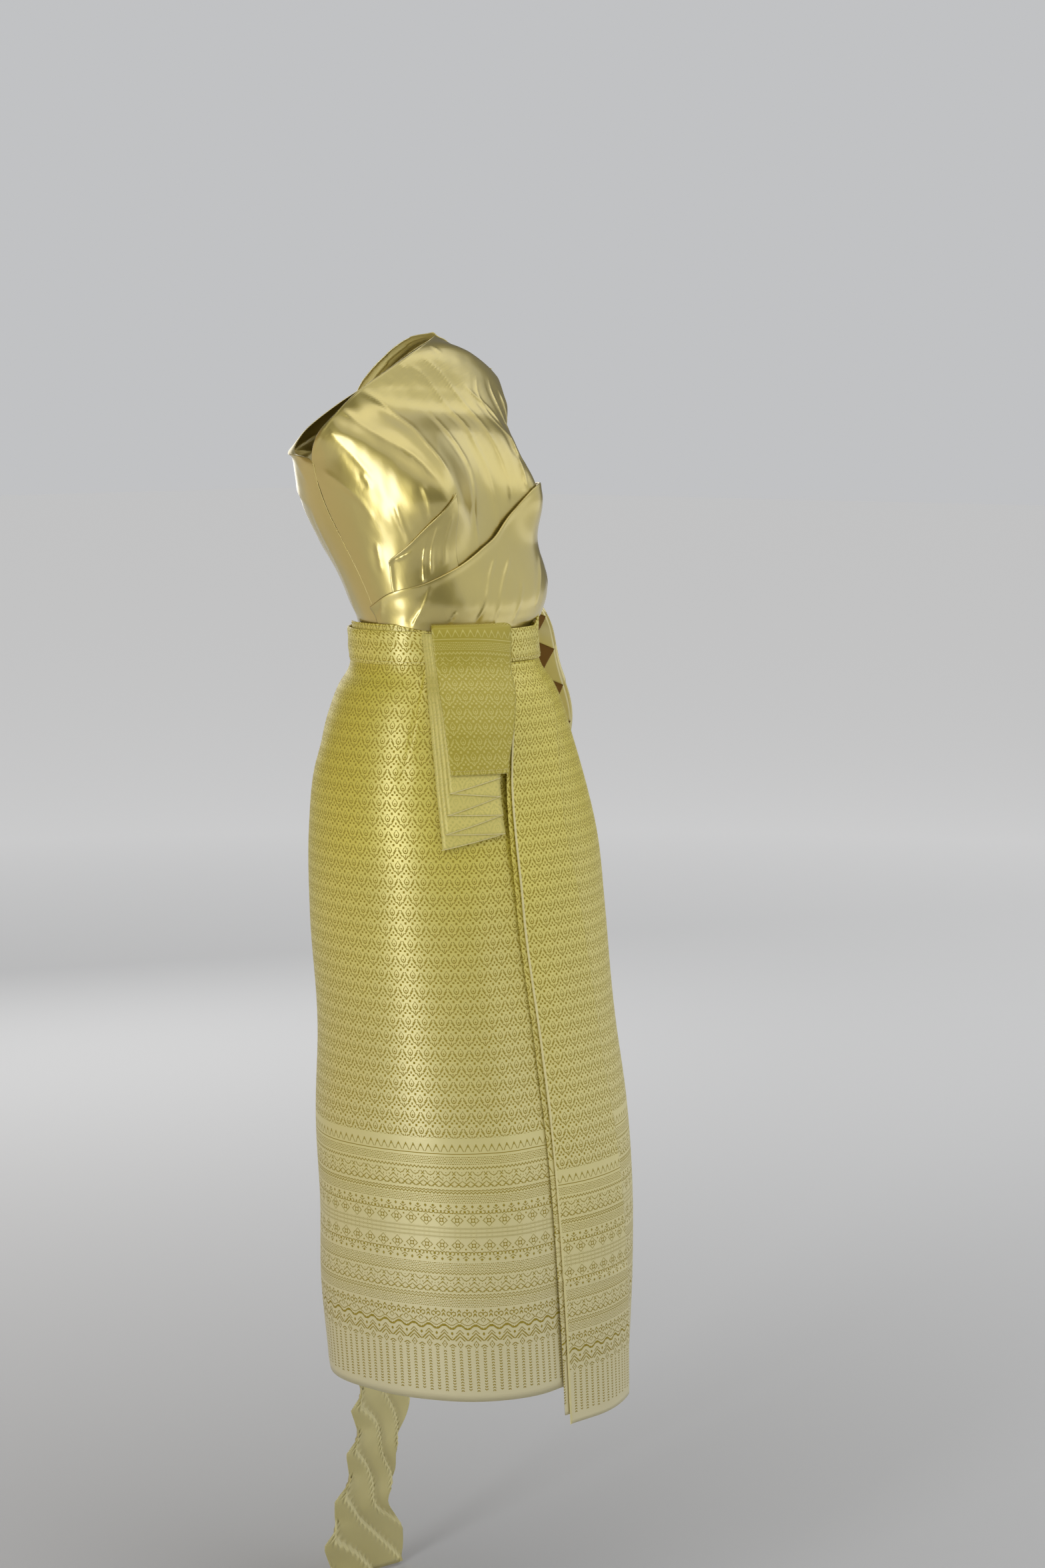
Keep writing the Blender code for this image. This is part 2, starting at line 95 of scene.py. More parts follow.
def ripple(first, second, seed, waves=9, longest=0.06, shortest=0.018):
    # soft uneven ground of a hand-hung cloth, between about -1 and 1
    chance = np.random.default_rng(seed)
    total = np.zeros_like(first * second)
    for _ in range(waves):
        length = chance.uniform(shortest, longest)
        turn = chance.uniform(0, 2 * math.pi)
        phase = chance.uniform(0, 2 * math.pi)
        total += np.sin(2 * math.pi * (first * math.cos(turn) + second * math.sin(turn)) / length + phase)
    return total / math.sqrt(waves)


def lengthsAlong(points, axis):
    steps = np.linalg.norm(np.diff(points, axis=axis), axis=2)
    pad = [(1, 0), (0, 0)] if axis == 0 else [(0, 0), (1, 0)]
    return np.pad(np.cumsum(steps, axis=axis), pad)


def turnedEdge(points, uv, radius, axis=1, atEnd=True, steps=7):
    # the cloth's edge rolled inwards, as a new strip of the grid
    points, uv = np.moveaxis(points, axis, 1), np.moveaxis(uv, axis, 1)
    normals = np.moveaxis(normalsOf(np.moveaxis(points, 1, axis)), axis, 1)
    if not atEnd:
        points, uv, normals = points[:, ::-1], uv[:, ::-1], normals[:, ::-1]
    last, before = points[:, -1], points[:, -2]
    way = last - before
    way /= np.maximum(np.linalg.norm(way, axis=1, keepdims=True), 1e-9)
    uvWay = (uv[:, -1] - uv[:, -2]) / np.maximum(np.linalg.norm(last - before, axis=1, keepdims=True), 1e-9)
    strips, uvStrips = [], []
    for turn in np.linspace(0, math.pi, steps + 1)[1:]:
        strips.append(last + radius * (way * math.sin(turn) - normals[:, -1] * (1 - math.cos(turn))))
        uvStrips.append(uv[:, -1] + uvWay * radius * turn)
    points = np.concatenate([points, np.stack(strips, axis=1)], axis=1)
    uv = np.concatenate([uv, np.stack(uvStrips, axis=1)], axis=1)
    if not atEnd:
        points, uv = points[:, ::-1], uv[:, ::-1]
    return np.moveaxis(points, 1, axis), np.moveaxis(uv, 1, axis)


# Cloth pieces
def clothPiece(
    name, patches, wall, finishes, node, flat, offset=-1.0, bevel=0.0, backFinish=0, rimFinish=0
):
    # each patch is a grid of points with its cloth coordinates and the number of its finish
    verts, quads, uvs, numbers, start = [], [], [], [], 0
    for points, uv, number in patches:
        rows, columns = points.shape[:2]
        index = start + np.arange(rows * columns).reshape(rows, columns)
        corners = [index[:-1, :-1], index[1:, :-1], index[1:, 1:], index[:-1, 1:]]
        faces = np.stack(corners, axis=-1).reshape(-1, 4)
        verts.append(points.reshape(-1, 3))
        uvs.append(uv.reshape(-1, 2))
        quads.append(faces)
        numbers.append(np.full(len(faces), number))
        start += rows * columns
    verts, quads, uvs = np.concatenate(verts), np.concatenate(quads), np.concatenate(uvs)
    mesh = bpy.data.meshes.new(name)
    mesh.from_pydata(verts.tolist(), [], quads.tolist())
    mesh.uv_layers.new(name="Cloth").data.foreach_set("uv", uvs[quads.ravel()].ravel())
    for finish in finishes:
        mesh.materials.append(finish)
    mesh.polygons.foreach_set("material_index", np.concatenate(numbers))
    mesh.shade_smooth()
    piece = bpy.data.objects.new(name, mesh)
    bpy.context.scene.collection.objects.link(piece)
    thick = piece.modifiers.new("Cloth wall", "SOLIDIFY")
    thick.thickness = wall
    thick.offset = offset
    thick.use_even_offset = True
    thick.material_offset = backFinish
    thick.material_offset_rim = rimFinish
    if bevel:
        rim = piece.modifiers.new("Pressed edge", "BEVEL")
        rim.width = bevel
        rim.segments = 2
        rim.limit_method = "ANGLE"
        rim.angle_limit = math.radians(50)
    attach(piece, "root")
    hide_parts(node)
    area = sum(polygon.area for polygon in mesh.polygons)
    print(f"{name}: {len(quads)} quads, {area:.3f} m2 of cloth, cut {flat[0] * flat[1]:.3f} m2")
    return piece


# Brocade: a weaver's chart, drawn row by row and read back in the shader
chartColumns = 20  # columns in half a repeat, which is mirrored
chartRowsHeld = 32  # rows in one channel of one ramp
latticeRepeat = 0.0200
latticeRise = 0.0365
hemRepeat = 0.0188
hemRows = 320  # one row is a millimetre


def zigzag(x, count, halfRepeat):
    return np.abs((x * count / halfRepeat) % 2.0 - 1.0)


def strokeAt(x, y, x1, y1, x2, y2, thick):
    # a straight stroke between two places, in millimetres
    wayX, wayY = x2 - x1, y2 - y1
    along = np.clip(((x - x1) * wayX + (y - y1) * wayY) / (wayX**2 + wayY**2), 0, 1)
    return np.hypot(x - x1 - along * wayX, y - y1 - along * wayY) < thick / 2


def squareAt(x, y, middleX, middleY, wide, tall):
    return (np.abs(x - middleX) < wide / 2) & (np.abs(y - middleY) < tall / 2)


def latticeMotif(x, y):
    # a teardrop ring round a dot, squares in a diamond above it, side strokes, a leaf below
    x = np.abs(x)
    drop = np.hypot(x / (3.4 * (1.0 - 0.62 * smoothStep((y + 0.5) / 5.6))), (y - 0.3) / 5.0)
    motif = (drop < 1.0) & (drop > 0.70)
    motif |= (np.hypot(x, y + 1.2) < 1.25) & ((x < 0.5) | (np.abs(y + 1.2) < 0.6))
    for middleX, middleY in ((0.0, 12.2), (2.9, 9.2), (5.9, 5.4)):
        motif |= squareAt(x, y, middleX, middleY, 2.5, 2.7)
    motif |= strokeAt(x, y, 8.9, 2.4, 5.2, -4.2, 1.05)
    motif |= strokeAt(x, y, 8.7, -0.6, 4.4, -7.2, 1.05)
    motif |= strokeAt(x, y, 3.2, -6.6, 0.2, -11.0, 1.2)
    motif |= strokeAt(x, y, 0.0, -6.6, 0.0, -8.2, 1.5)
    return motif


def latticeChart():
    row, column = grid(np.arange(chartRowsHeld) + 0.5, np.arange(chartColumns) + 0.5)
    x, y = column * 10.0 / chartColumns, row * 18.25 / chartRowsHeld
    return latticeMotif(x, y) | latticeMotif(10.0 - x, y - 18.25)


def ringAt(x, y, middleX, middleY, radius, thick):
    return np.abs(np.hypot(x - middleX, y - middleY) - radius) < thick / 2


def diamondAt(x, y, middleX, middleY, wide, tall, thick=None):
    reach = np.abs(x - middleX) / wide + np.abs(y - middleY) / tall
    return reach < 1 if thick is None else (reach < 1) & (reach > 1 - thick)


def waveAt(x, y, half, middle, rise, thick, count=4):
    return np.abs(y - middle - rise * np.cos(math.pi * count * x / half)) < thick


def scrollBand(x, y, half):
    # small diamonds, a row of paired curls, then rosettes; y runs from 0 to 27
    drawn = diamondAt(x, y, 0.0, 3.0, 1.9, 2.1) | diamondAt(x, y, half, 2.6, 1.9, 2.1)
    drawn |= strokeAt(x, y, half - 3.2, 4.4, half, 6.6, 1.1)
    drawn |= ringAt(x, y, half - 2.9, 9.6, 2.3, 1.2) & ~squareAt(x, y, half - 1.4, 7.4, 2.4, 2.0)
    drawn |= ringAt(x, y, half - 7.2, 9.2, 2.0, 1.1) & (y > 8.4)
    drawn |= diamondAt(x, y, 0.0, 19.5, 7.4, 7.6, 0.17) & ~squareAt(x, y, 3.7, 19.5, 1.2, 9.0)
    drawn |= ringAt(x, y, 0.0, 19.5, 1.9, 1.1) | strokeAt(x, y, 3.0, 16.6, 2.2, 17.4, 1.2)
    drawn |= strokeAt(x, y, 3.0, 22.4, 2.2, 21.6, 1.2)
    drawn |= diamondAt(x, y, half, 15.0, 1.5, 1.7)
    return drawn & (y > 0) & (y < 27.2)


def chevronBand(x, y, half):
    # crossed zigzags, a peak, and a shallow hooked valley between two peaks; y runs from 0 to 21
    peak = 1.0 - x / half
    drawn = np.abs(y - 1.0 - 7.4 * peak) < 0.62
    drawn |= np.abs(y - 8.4 + 7.4 * peak) < 0.55
    drawn |= ringAt(x, y, half / 2, 1.4, 2.2, 0.9) & (y > 1.4)
    drawn |= strokeAt(x, y, 0.0, 13.4, 5.2, 8.8, 1.15)
    drawn |= strokeAt(x, y, half, 14.6, half - 3.4, 16.4, 1.15)
    drawn |= strokeAt(x, y, half - 3.4, 16.4, half - 5.6, 19.2, 1.0)
    drawn |= strokeAt(x, y, 0.0, 17.2, 1.8, 15.4, 0.9) | strokeAt(x, y, 0.0, 17.2, 1.8, 19.2, 0.9)
    drawn |= squareAt(x, y, half, 11.6, 1.0, 1.2) | squareAt(x, y, half, 18.4, 1.0, 1.2)
    drawn |= squareAt(x, y, half - 3.6, 12.0, 1.0, 1.2)
    return drawn & (y > 0) & (y < 21)


def lotusBorder(x, y, half):
    # small heads over the stems, peaks, a thick garland, then hearts round a rosette; y from 0 to 49
    drawn = strokeAt(x, y, half, 4.6, half - 3.6, 2.2, 1.3) | strokeAt(x, y, half, 1.6, half - 1.8, 0.4, 1.1)
    drawn |= diamondAt(x, y, 0.0, 5.0, 3.4, 5.2, 0.30) | squareAt(x, y, 0.0, 5.0, 1.2, 1.6)
    drawn |= strokeAt(x, y, 0.0, 19.0, 8.6, 10.2, 1.5) | strokeAt(x, y, 0.0, 14.8, 5.6, 9.2, 1.2)
    drawn |= strokeAt(x, y, 0.0, 22.6, 4.2, 18.4, 1.1)
    drawn |= diamondAt(x, y, half, 18.2, 1.7, 2.6) | squareAt(x, y, half, 13.4, 1.3, 1.8)
    drawn |= waveAt(x, y, half, 26.4, 2.4, 1.35, count=1)
    drawn |= waveAt(x, y, half, 30.4, 2.0, 0.55, count=1)
    drawn |= diamondAt(x, y, half, 35.6, 3.4, 3.8, 0.34) | strokeAt(x, y, 1.4, 33.6, 4.8, 36.8, 1.3)
    drawn |= ringAt(x, y, half - 2.7, 42.4, 2.5, 1.25) & ~squareAt(x, y, half - 1.0, 40.2, 2.2, 2.0)
    drawn |= strokeAt(x, y, 0.0, 47.6, 1.8, 45.0, 1.4) | strokeAt(x, y, 0.0, 43.4, 1.7, 40.0, 1.3)
    drawn |= diamondAt(x, y, half, 47.2, 1.7, 1.9)
    return drawn & (y > 0) & (y < 49.5)


def dashRows(x, y, height, pitch=2.35):
    line = np.floor(y / 2.0)
    return (y % 2.0 < 1.0) & ((x + line % 2 * pitch / 2) % pitch < pitch * 0.55) & (y > 0) & (y < height)


def hemChart():
    row, column = grid(np.arange(hemRows) + 0.5, np.arange(chartColumns) + 0.5)
    half = 1000 * hemRepeat / 2
    x, y = column * half / chartColumns, row
    drawn = np.zeros(x.shape, bool)
    inRows = (y > 13) & (y < 66)
    drawn |= inRows & (x < 1.9) & ((y + 0.85 * x) % 3.5 < 1.5)
    drawn |= inRows & (half - x < 1.9) & ((y - 0.85 * (half - x)) % 3.5 < 1.5)
    drawn |= lotusBorder(x, y - 67, half)
    drawn |= dashRows(x, y - 118, 9)
    drawn |= waveAt(x, y, half, 129.5, 1.1, 0.7)
    drawn |= waveAt(x, y, half, 132.6, 0.8, 0.6)
    drawn |= chevronBand(x, y - 135, half)
    drawn |= waveAt(x, y, half, 158.6, 1.1, 0.8)
    drawn |= waveAt(x, y, half, 161.6, 0.7, 0.5)
    drawn |= dashRows(x, y - 164, 8)
    drawn |= scrollBand(x, y - 173, half)
    drawn |= (y > 200) & (y < 215) & (((x + y) % 2.5 < 1.1) & ((x - y) % 2.5 < 1.1))
    drawn |= scrollBand(x, 242 - y, half)
    drawn |= dashRows(x, y - 243, 9)
    drawn |= waveAt(x, y, half, 255.0, 1.1, 0.7)
    drawn |= waveAt(x, y, half, 258.0, 0.8, 0.6)
    drawn |= chevronBand(x, y - 261, half)
    drawn |= waveAt(x, y, half, 285.0, 1.1, 0.8)
    drawn |= dashRows(x, y - 289, 10)
    drawn |= (y > 301) & (y < 302.2)
    drawn |= (y > 304) & (y < 304 + 9.0 * zigzag(x, 2, half)) & (y > 304 + 9.0 * zigzag(x, 2, half) - 2.2)
    return drawn


def rowCodes(chart):
    # a row of squares as one number: the first square is worth a half, the next a quarter
    half = 0.5 ** (chartColumns + 1)  # keeps rounding away from the next square
    return chart.astype(float) @ (0.5 ** np.arange(1, chartColumns + 1)) + half


def maths(tree, operation, *values):
    node = tree.nodes.new("ShaderNodeMath")
    node.operation = operation
    for socket, value in zip(node.inputs, values):
        if isinstance(value, bpy.types.NodeSocket):
            tree.links.new(value, socket)
        else:
            socket.default_value = value
    return node.outputs[0]


def chartRamp(tree, codes, row):
    # three channels hold three runs of rows
    ramp = tree.nodes.new("ShaderNodeValToRGB")
    ramp.color_ramp.interpolation = "CONSTANT"
    stops = ramp.color_ramp.elements
    codes = np.pad(codes, (0, 3 * chartRowsHeld - len(codes)))
    channels = codes.reshape(3, chartRowsHeld)
    while len(stops) < chartRowsHeld:
        stops.new(1.0)
    for index in range(chartRowsHeld):
        stops[index].position = index / chartRowsHeld
    for index in range(chartRowsHeld):
        stops[index].color = (*channels[:, index], 1.0)
    tree.links.new(row, ramp.inputs[0])
    split = tree.nodes.new("ShaderNodeSeparateColor")
    tree.links.new(ramp.outputs[0], split.inputs[0])
    return list(split.outputs)[:3]


def squareOf(tree, code, share):
    # the square of a row at a share from 0 to 1 of the half repeat
    column = maths(tree, "FLOOR", maths(tree, "MULTIPLY", share, chartColumns))
    column = maths(tree, "MINIMUM", column, chartColumns - 1)
    worth = maths(tree, "POWER", 2.0, maths(tree, "ADD", column, 1.0))
    return maths(tree, "MODULO", maths(tree, "FLOOR", maths(tree, "MULTIPLY", code, worth)), 2.0)


def mirrored(tree, value, repeat):
    part = maths(tree, "FRACT", maths(tree, "DIVIDE", value, repeat))
    return maths(tree, "MULTIPLY", maths(tree, "ABSOLUTE", maths(tree, "SUBTRACT", part, 0.5)), 2.0)


def figureGroup():
    group = bpy.data.node_groups.new("Brocade figure", "ShaderNodeTree")
    group.interface.new_socket("Across", in_out="INPUT", socket_type="NodeSocketFloat")
    group.interface.new_socket("Above Hem", in_out="INPUT", socket_type="NodeSocketFloat")
    group.interface.new_socket("Figure", in_out="OUTPUT", socket_type="NodeSocketFloat")
    entry = group.nodes.new("NodeGroupInput")
    leave = group.nodes.new("NodeGroupOutput")
    across, above = entry.outputs["Across"], entry.outputs["Above Hem"]

    # the lattice: every other half drop is read from the other side
    level = maths(group, "DIVIDE", above, latticeRise / 2)
    odd = maths(group, "FLOORED_MODULO", maths(group, "FLOOR", level), 2.0)
    share = mirrored(group, across, latticeRepeat)
    flipped = maths(group, "ABSOLUTE", maths(group, "SUBTRACT", odd, share))
    rowShare = maths(group, "FRACT", level)
    rowAt = maths(group, "FLOOR", maths(group, "MULTIPLY", rowShare, chartRowsHeld))
    rowAt = maths(group, "DIVIDE", maths(group, "ADD", rowAt, 0.5), chartRowsHeld)
    code = chartRamp(group, rowCodes(latticeChart()), rowAt)[0]
    lattice = squareOf(group, code, flipped)

    # the bordered hem
    row = maths(group, "FLOOR", maths(group, "MULTIPLY", above, 1000.0))
    hold = maths(group, "FLOOR", maths(group, "DIVIDE", row, chartRowsHeld))
    rowAt = maths(group, "FLOORED_MODULO", row, chartRowsHeld)
    rowAt = maths(group, "DIVIDE", maths(group, "ADD", rowAt, 0.5), chartRowsHeld)
    codes, total = rowCodes(hemChart()), 0.0
    for first in range(0, hemRows, 3 * chartRowsHeld):
        channels = chartRamp(group, codes[first : first + 3 * chartRowsHeld], rowAt)
        for number, channel in enumerate(channels):
            here = maths(group, "COMPARE", hold, first / chartRowsHeld + number, 0.25)
            total = maths(group, "MULTIPLY_ADD", channel, here, total)
    border = squareOf(group, total, mirrored(group, across, hemRepeat))
    inHem = maths(group, "LESS_THAN", above, 0.001 * hemRows)
    figure = maths(group, "ADD", maths(group, "MULTIPLY", border, inHem),
                   maths(group, "MULTIPLY", lattice, maths(group, "SUBTRACT", 1.0, inHem)))
    group.links.new(figure, leave.inputs[0])
    return group


def freshMaterial(name):
    finish = bpy.data.materials.new(name)
    finish.use_nodes = True
    tree = finish.node_tree
    return finish, tree, tree.nodes["Principled BSDF"]


def clothCoordinates(tree):
    coordinates = tree.nodes.new("ShaderNodeUVMap")
    coordinates.uv_map = "Cloth"
    return coordinates.outputs[0]


def colourMix(tree, factor, first, second):
    mix = tree.nodes.new("ShaderNodeMix")
    mix.data_type = "RGBA"
    tree.links.new(factor, mix.inputs[0])
    for socket, value in ((mix.inputs[6], first), (mix.inputs[7], second)):
        if isinstance(value, bpy.types.NodeSocket):
            tree.links.new(value, socket)
        else:
            socket.default_value = (*value, 1.0)
    return mix.outputs[2]


def noise(tree, vector, scale, detail, stretch=(1.0, 1.0, 1.0)):
    place = tree.nodes.new("ShaderNodeMapping")
    place.inputs["Scale"].default_value = stretch
    tree.links.new(vector, place.inputs["Vector"])
    grain = tree.nodes.new("ShaderNodeTexNoise")
    grain.inputs["Scale"].default_value = scale
    grain.inputs["Detail"].default_value = detail
    tree.links.new(place.outputs[0], grain.inputs["Vector"])
    return grain.outputs[0]


def raised(tree, shader, height, strength, distance, below=None):
    relief = tree.nodes.new("ShaderNodeBump")
    relief.inputs["Strength"].default_value = strength
    relief.inputs["Distance"].default_value = distance
    tree.links.new(height, relief.inputs["Height"])
    if below:
        tree.links.new(below, relief.inputs["Normal"])
    tree.links.new(relief.outputs[0], shader.inputs["Normal"])
    return relief.outputs[0]


def brocade(name, look, lift=0.0):
    finish, tree, shader = freshMaterial(name)
    vector = clothCoordinates(tree)
    split = tree.nodes.new("ShaderNodeSeparateXYZ")
    tree.links.new(vector, split.inputs[0])
    drawn = tree.nodes.new("ShaderNodeGroup")
    drawn.node_tree = brocadeFigure
    tree.links.new(split.outputs[0], drawn.inputs[0])
    tree.links.new(maths(tree, "ADD", split.outputs[1], lift), drawn.inputs[1])
    mask = drawn.outputs[0]
    uneven = noise(tree, vector, 7.0, 2.0)
    dark = tuple(0.90 * part for part in look["ground"])
    light = tuple(1.08 * part for part in look["ground"])
    # painted sheen: the ground is mixed ever more towards a cream colour near the hem, standing in for the
    # broad highlight the lamps lay there; the waistband and the belt's end get none of it
    paintedSheenMask = maths(tree, "MULTIPLY_ADD", split.outputs[1], -1.0 / look["paintedSheenBelow"], 1.0)
    paintedSheenMask = maths(tree, "MAXIMUM", maths(tree, "ADD", paintedSheenMask, -lift), 0.0)
    paintedSheenMask = maths(tree, "MULTIPLY", paintedSheenMask, look["paintedSheenShare"])
    groundWithPaintedSheen = colourMix(tree, paintedSheenMask, colourMix(tree, uneven, dark, light), look["paintedSheenColour"])
    tree.links.new(colourMix(tree, mask, groundWithPaintedSheen, look["figure"]), shader.inputs["Base Color"])
    shader.inputs["IOR"].default_value = look["gloss"]
    for socket, first, second in (
        ("Roughness", look["groundRough"], look["figureRough"]),
        ("Metallic", look["groundMetal"], look["figureMetal"]),
        ("Specular IOR Level", look["groundShine"], look["figureShine"]),
    ):
        tree.links.new(maths(tree, "MULTIPLY_ADD", mask, second - first, first), shader.inputs[socket])
    threads = maths(tree, "SINE", maths(tree, "MULTIPLY", split.outputs[1], look["threads"] * 2 * math.pi))
    woven = maths(tree, "MULTIPLY_ADD", mask, 0.5, maths(tree, "MULTIPLY", threads, 0.15))
    grain = maths(tree, "MULTIPLY_ADD", noise(tree, vector, 220.0, 2.0, (1.0, 3.0, 1.0)), 0.7, woven)
    raised(tree, shader, grain, 0.4, 0.00025)
    return finish


def lame(name, colour, roughness, metal, crinkle, crinkleScale=150.0):
    finish, tree, shader = freshMaterial(name)
    vector = clothCoordinates(tree)
    patchy = noise(tree, vector, 14.0, 3.0)
    tree.links.new(
        colourMix(tree, patchy, tuple(0.92 * c for c in colour), tuple(1.06 * c for c in colour)),
        shader.inputs["Base Color"],
    )
    shader.inputs["Metallic"].default_value = metal
    shader.inputs["Roughness"].default_value = roughness
    shader.inputs["IOR"].default_value = 2.1
    shader.inputs["Coat Weight"].default_value = 0.7
    shader.inputs["Coat Roughness"].default_value = 0.20
    shader.inputs["Coat IOR"].default_value = 2.2
    large = noise(tree, vector, crinkleScale * 0.22, 3.0, (1.0, 2.4, 1.0))
    fine = noise(tree, vector, crinkleScale, 2.0, (1.0, 2.0, 1.0))
    height = maths(tree, "MULTIPLY_ADD", fine, 0.35, large)
    raised(tree, shader, height, crinkle, 0.0016)
    return finish


def plainCloth(name, colour, roughness, metal=0.0):
    finish, tree, shader = freshMaterial(name)
    vector = clothCoordinates(tree)
    uneven = noise(tree, vector, 30.0, 3.0)
    tree.links.new(
        colourMix(tree, uneven, tuple(0.88 * c for c in colour), tuple(1.08 * c for c in colour)),
        shader.inputs["Base Color"],
    )
    shader.inputs["Roughness"].default_value = roughness
    shader.inputs["Metallic"].default_value = metal
    return finish


def stitchTree():
    # one bead of thread at every step along a line, laid along it
    tree = bpy.data.node_groups.new("Stitches along a seam", "GeometryNodeTree")
    for name, kind in (
        ("Geometry", "NodeSocketGeometry"),
        ("Pitch", "NodeSocketFloat"),
        ("Stitch Length", "NodeSocketFloat"),
        ("Thread Radius", "NodeSocketFloat"),
        ("Seed", "NodeSocketInt"),
        ("Thread", "NodeSocketMaterial"),
    ):
        tree.interface.new_socket(name, in_out="INPUT", socket_type=kind)
    tree.interface.new_socket("Geometry", in_out="OUTPUT", socket_type="NodeSocketGeometry")
    entry, leave = tree.nodes.new("NodeGroupInput"), tree.nodes.new("NodeGroupOutput")
    line = tree.nodes.new("GeometryNodeMeshToCurve")
    spaced = tree.nodes.new("GeometryNodeResampleCurve")
    spaced.mode = "LENGTH"
    bead = tree.nodes.new("GeometryNodeMeshIcoSphere")
    bead.inputs["Radius"].default_value = 1.0
    bead.inputs["Subdivisions"].default_value = 1
    tangent = tree.nodes.new("GeometryNodeInputTangent")
    turn = tree.nodes.new("FunctionNodeAlignRotationToVector")
    turn.axis = "Z"
    chance = tree.nodes.new("FunctionNodeRandomValue")
    chance.data_type = "FLOAT"
    chance.inputs[2].default_value = 0.85
    chance.inputs[3].default_value = 1.10
    half = maths(tree, "MULTIPLY", entry.outputs["Stitch Length"], 0.5)
    size = tree.nodes.new("ShaderNodeCombineXYZ")
    placed = tree.nodes.new("GeometryNodeInstanceOnPoints")
    real = tree.nodes.new("GeometryNodeRealizeInstances")
    dyed = tree.nodes.new("GeometryNodeSetMaterial")
    for start, end in (
        (entry.outputs["Geometry"], line.inputs["Mesh"]),
        (line.outputs["Curve"], spaced.inputs["Curve"]),
        (entry.outputs["Pitch"], spaced.inputs["Length"]),
        (entry.outputs["Seed"], chance.inputs["Seed"]),
        (tangent.outputs[0], turn.inputs["Vector"]),
        (entry.outputs["Thread Radius"], size.inputs["X"]),
        (entry.outputs["Thread Radius"], size.inputs["Y"]),
        (maths(tree, "MULTIPLY", half, chance.outputs[1]), size.inputs["Z"]),
        (spaced.outputs["Curve"], placed.inputs["Points"]),
        (bead.outputs["Mesh"], placed.inputs["Instance"]),
        (turn.outputs[0], placed.inputs["Rotation"]),
        (size.outputs[0], placed.inputs["Scale"]),
        (placed.outputs["Instances"], real.inputs["Geometry"]),
        (real.outputs["Geometry"], dyed.inputs["Geometry"]),
        (entry.outputs["Thread"], dyed.inputs["Material"]),
        (dyed.outputs["Geometry"], leave.inputs["Geometry"]),
    ):
        tree.links.new(start, end)
    return tree


def onSurface(points, index, axis=1, out=0.0002):
    # a line of the grid, lifted a hair from the cloth
    lifted = movedOut(points, out)
    return lifted[index] if axis == 0 else lifted[:, index]


def seamLine(name, line, stitch, seed=1):
    seam = bpy.data.meshes.new(name + " line")
    seam.from_pydata(line.tolist(), [(place, place + 1) for place in range(len(line) - 1)], [])
    holder = bpy.data.objects.new(name + " line", seam)
    bpy.context.scene.collection.objects.link(holder)
    sewn = holder.modifiers.new("Stitches", "NODES")
    sewn.node_group = stitches
    facts = {**stitch, "Seed": seed}
    for socket in stitches.interface.items_tree:
        if socket.item_type == "SOCKET" and socket.in_out == "INPUT" and socket.name in facts:
            sewn[socket.identifier] = facts[socket.name]
    depsgraph = bpy.context.evaluated_depsgraph_get()
    mesh = bpy.data.meshes.new_from_object(holder.evaluated_get(depsgraph))
    bpy.data.objects.remove(holder, do_unlink=True)
    mesh.name = name
    mesh.materials.clear()
    mesh.materials.append(stitch["Thread"])
    mesh.polygons.foreach_set("material_index", [0] * len(mesh.polygons))
    mesh.shade_smooth()
    piece = bpy.data.objects.new(name, mesh)
    bpy.context.scene.collection.objects.link(piece)
    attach(piece, "root")
    print(f"{name}: {len(mesh.polygons)} faces")
    return piece


brocadeFigure = figureGroup()
skirtLook = {
    "ground": (0.73, 0.62, 0.070),
    # painted sheen: this cream colour and the two numbers after it lighten the ground towards the hem
    "paintedSheenColour": (0.76, 0.68, 0.42),
    "paintedSheenBelow": 0.66,
    "paintedSheenShare": 0.90,
    "figure": (0.36, 0.27, 0.028),
    "gloss": 2.0,
    "groundRough": 0.39,
    "figureRough": 0.65,
    "groundMetal": 0.16,
    "figureMetal": 0.05,
    "groundShine": 0.62,
    "figureShine": 0.05,
    "threads": 900.0,
}
# painted light and shade: the belt's end is the skirt's brocade with its ground painted darker and its
# figure lighter, for the way light falling across the weave swaps their brightness; the folds and the end of
# the belt reuse it
tabShadedLook = {
    **skirtLook,
    "ground": (0.45, 0.365, 0.034),
    "figure": (0.60, 0.52, 0.105),
    "gloss": 1.7,
    "paintedSheenShare": 0.0,
    "groundRough": 0.48,
    "figureRough": 0.40,
    "groundShine": 0.40,
    "figureShine": 0.60,
}
skirtBrocade = brocade("Skirt brocade", skirtLook)
pastHem = 1.0  # reads the lattice alone
tabEndLift = 0.135  # the stretch of the border that the belt's end shows
bandBrocade = brocade("Band brocade", {**skirtLook, "ground": (0.76, 0.65, 0.11)}, lift=pastHem)
tabBrocade = brocade("Tab brocade", tabShadedLook, lift=pastHem)
foldBrocade = brocade("Fold brocade", {**tabShadedLook, "ground": (0.72, 0.62, 0.17)}, lift=pastHem)
bodiceLame = lame("Bodice lame", (0.56, 0.445, 0.095), 0.33, 0.84, 0.13)
sashLame = lame("Sash lame", (0.82, 0.71, 0.25), 0.46, 0.35, 0.10)
tabEndBrocade = brocade("Tab end brocade", tabShadedLook, lift=tabEndLift)
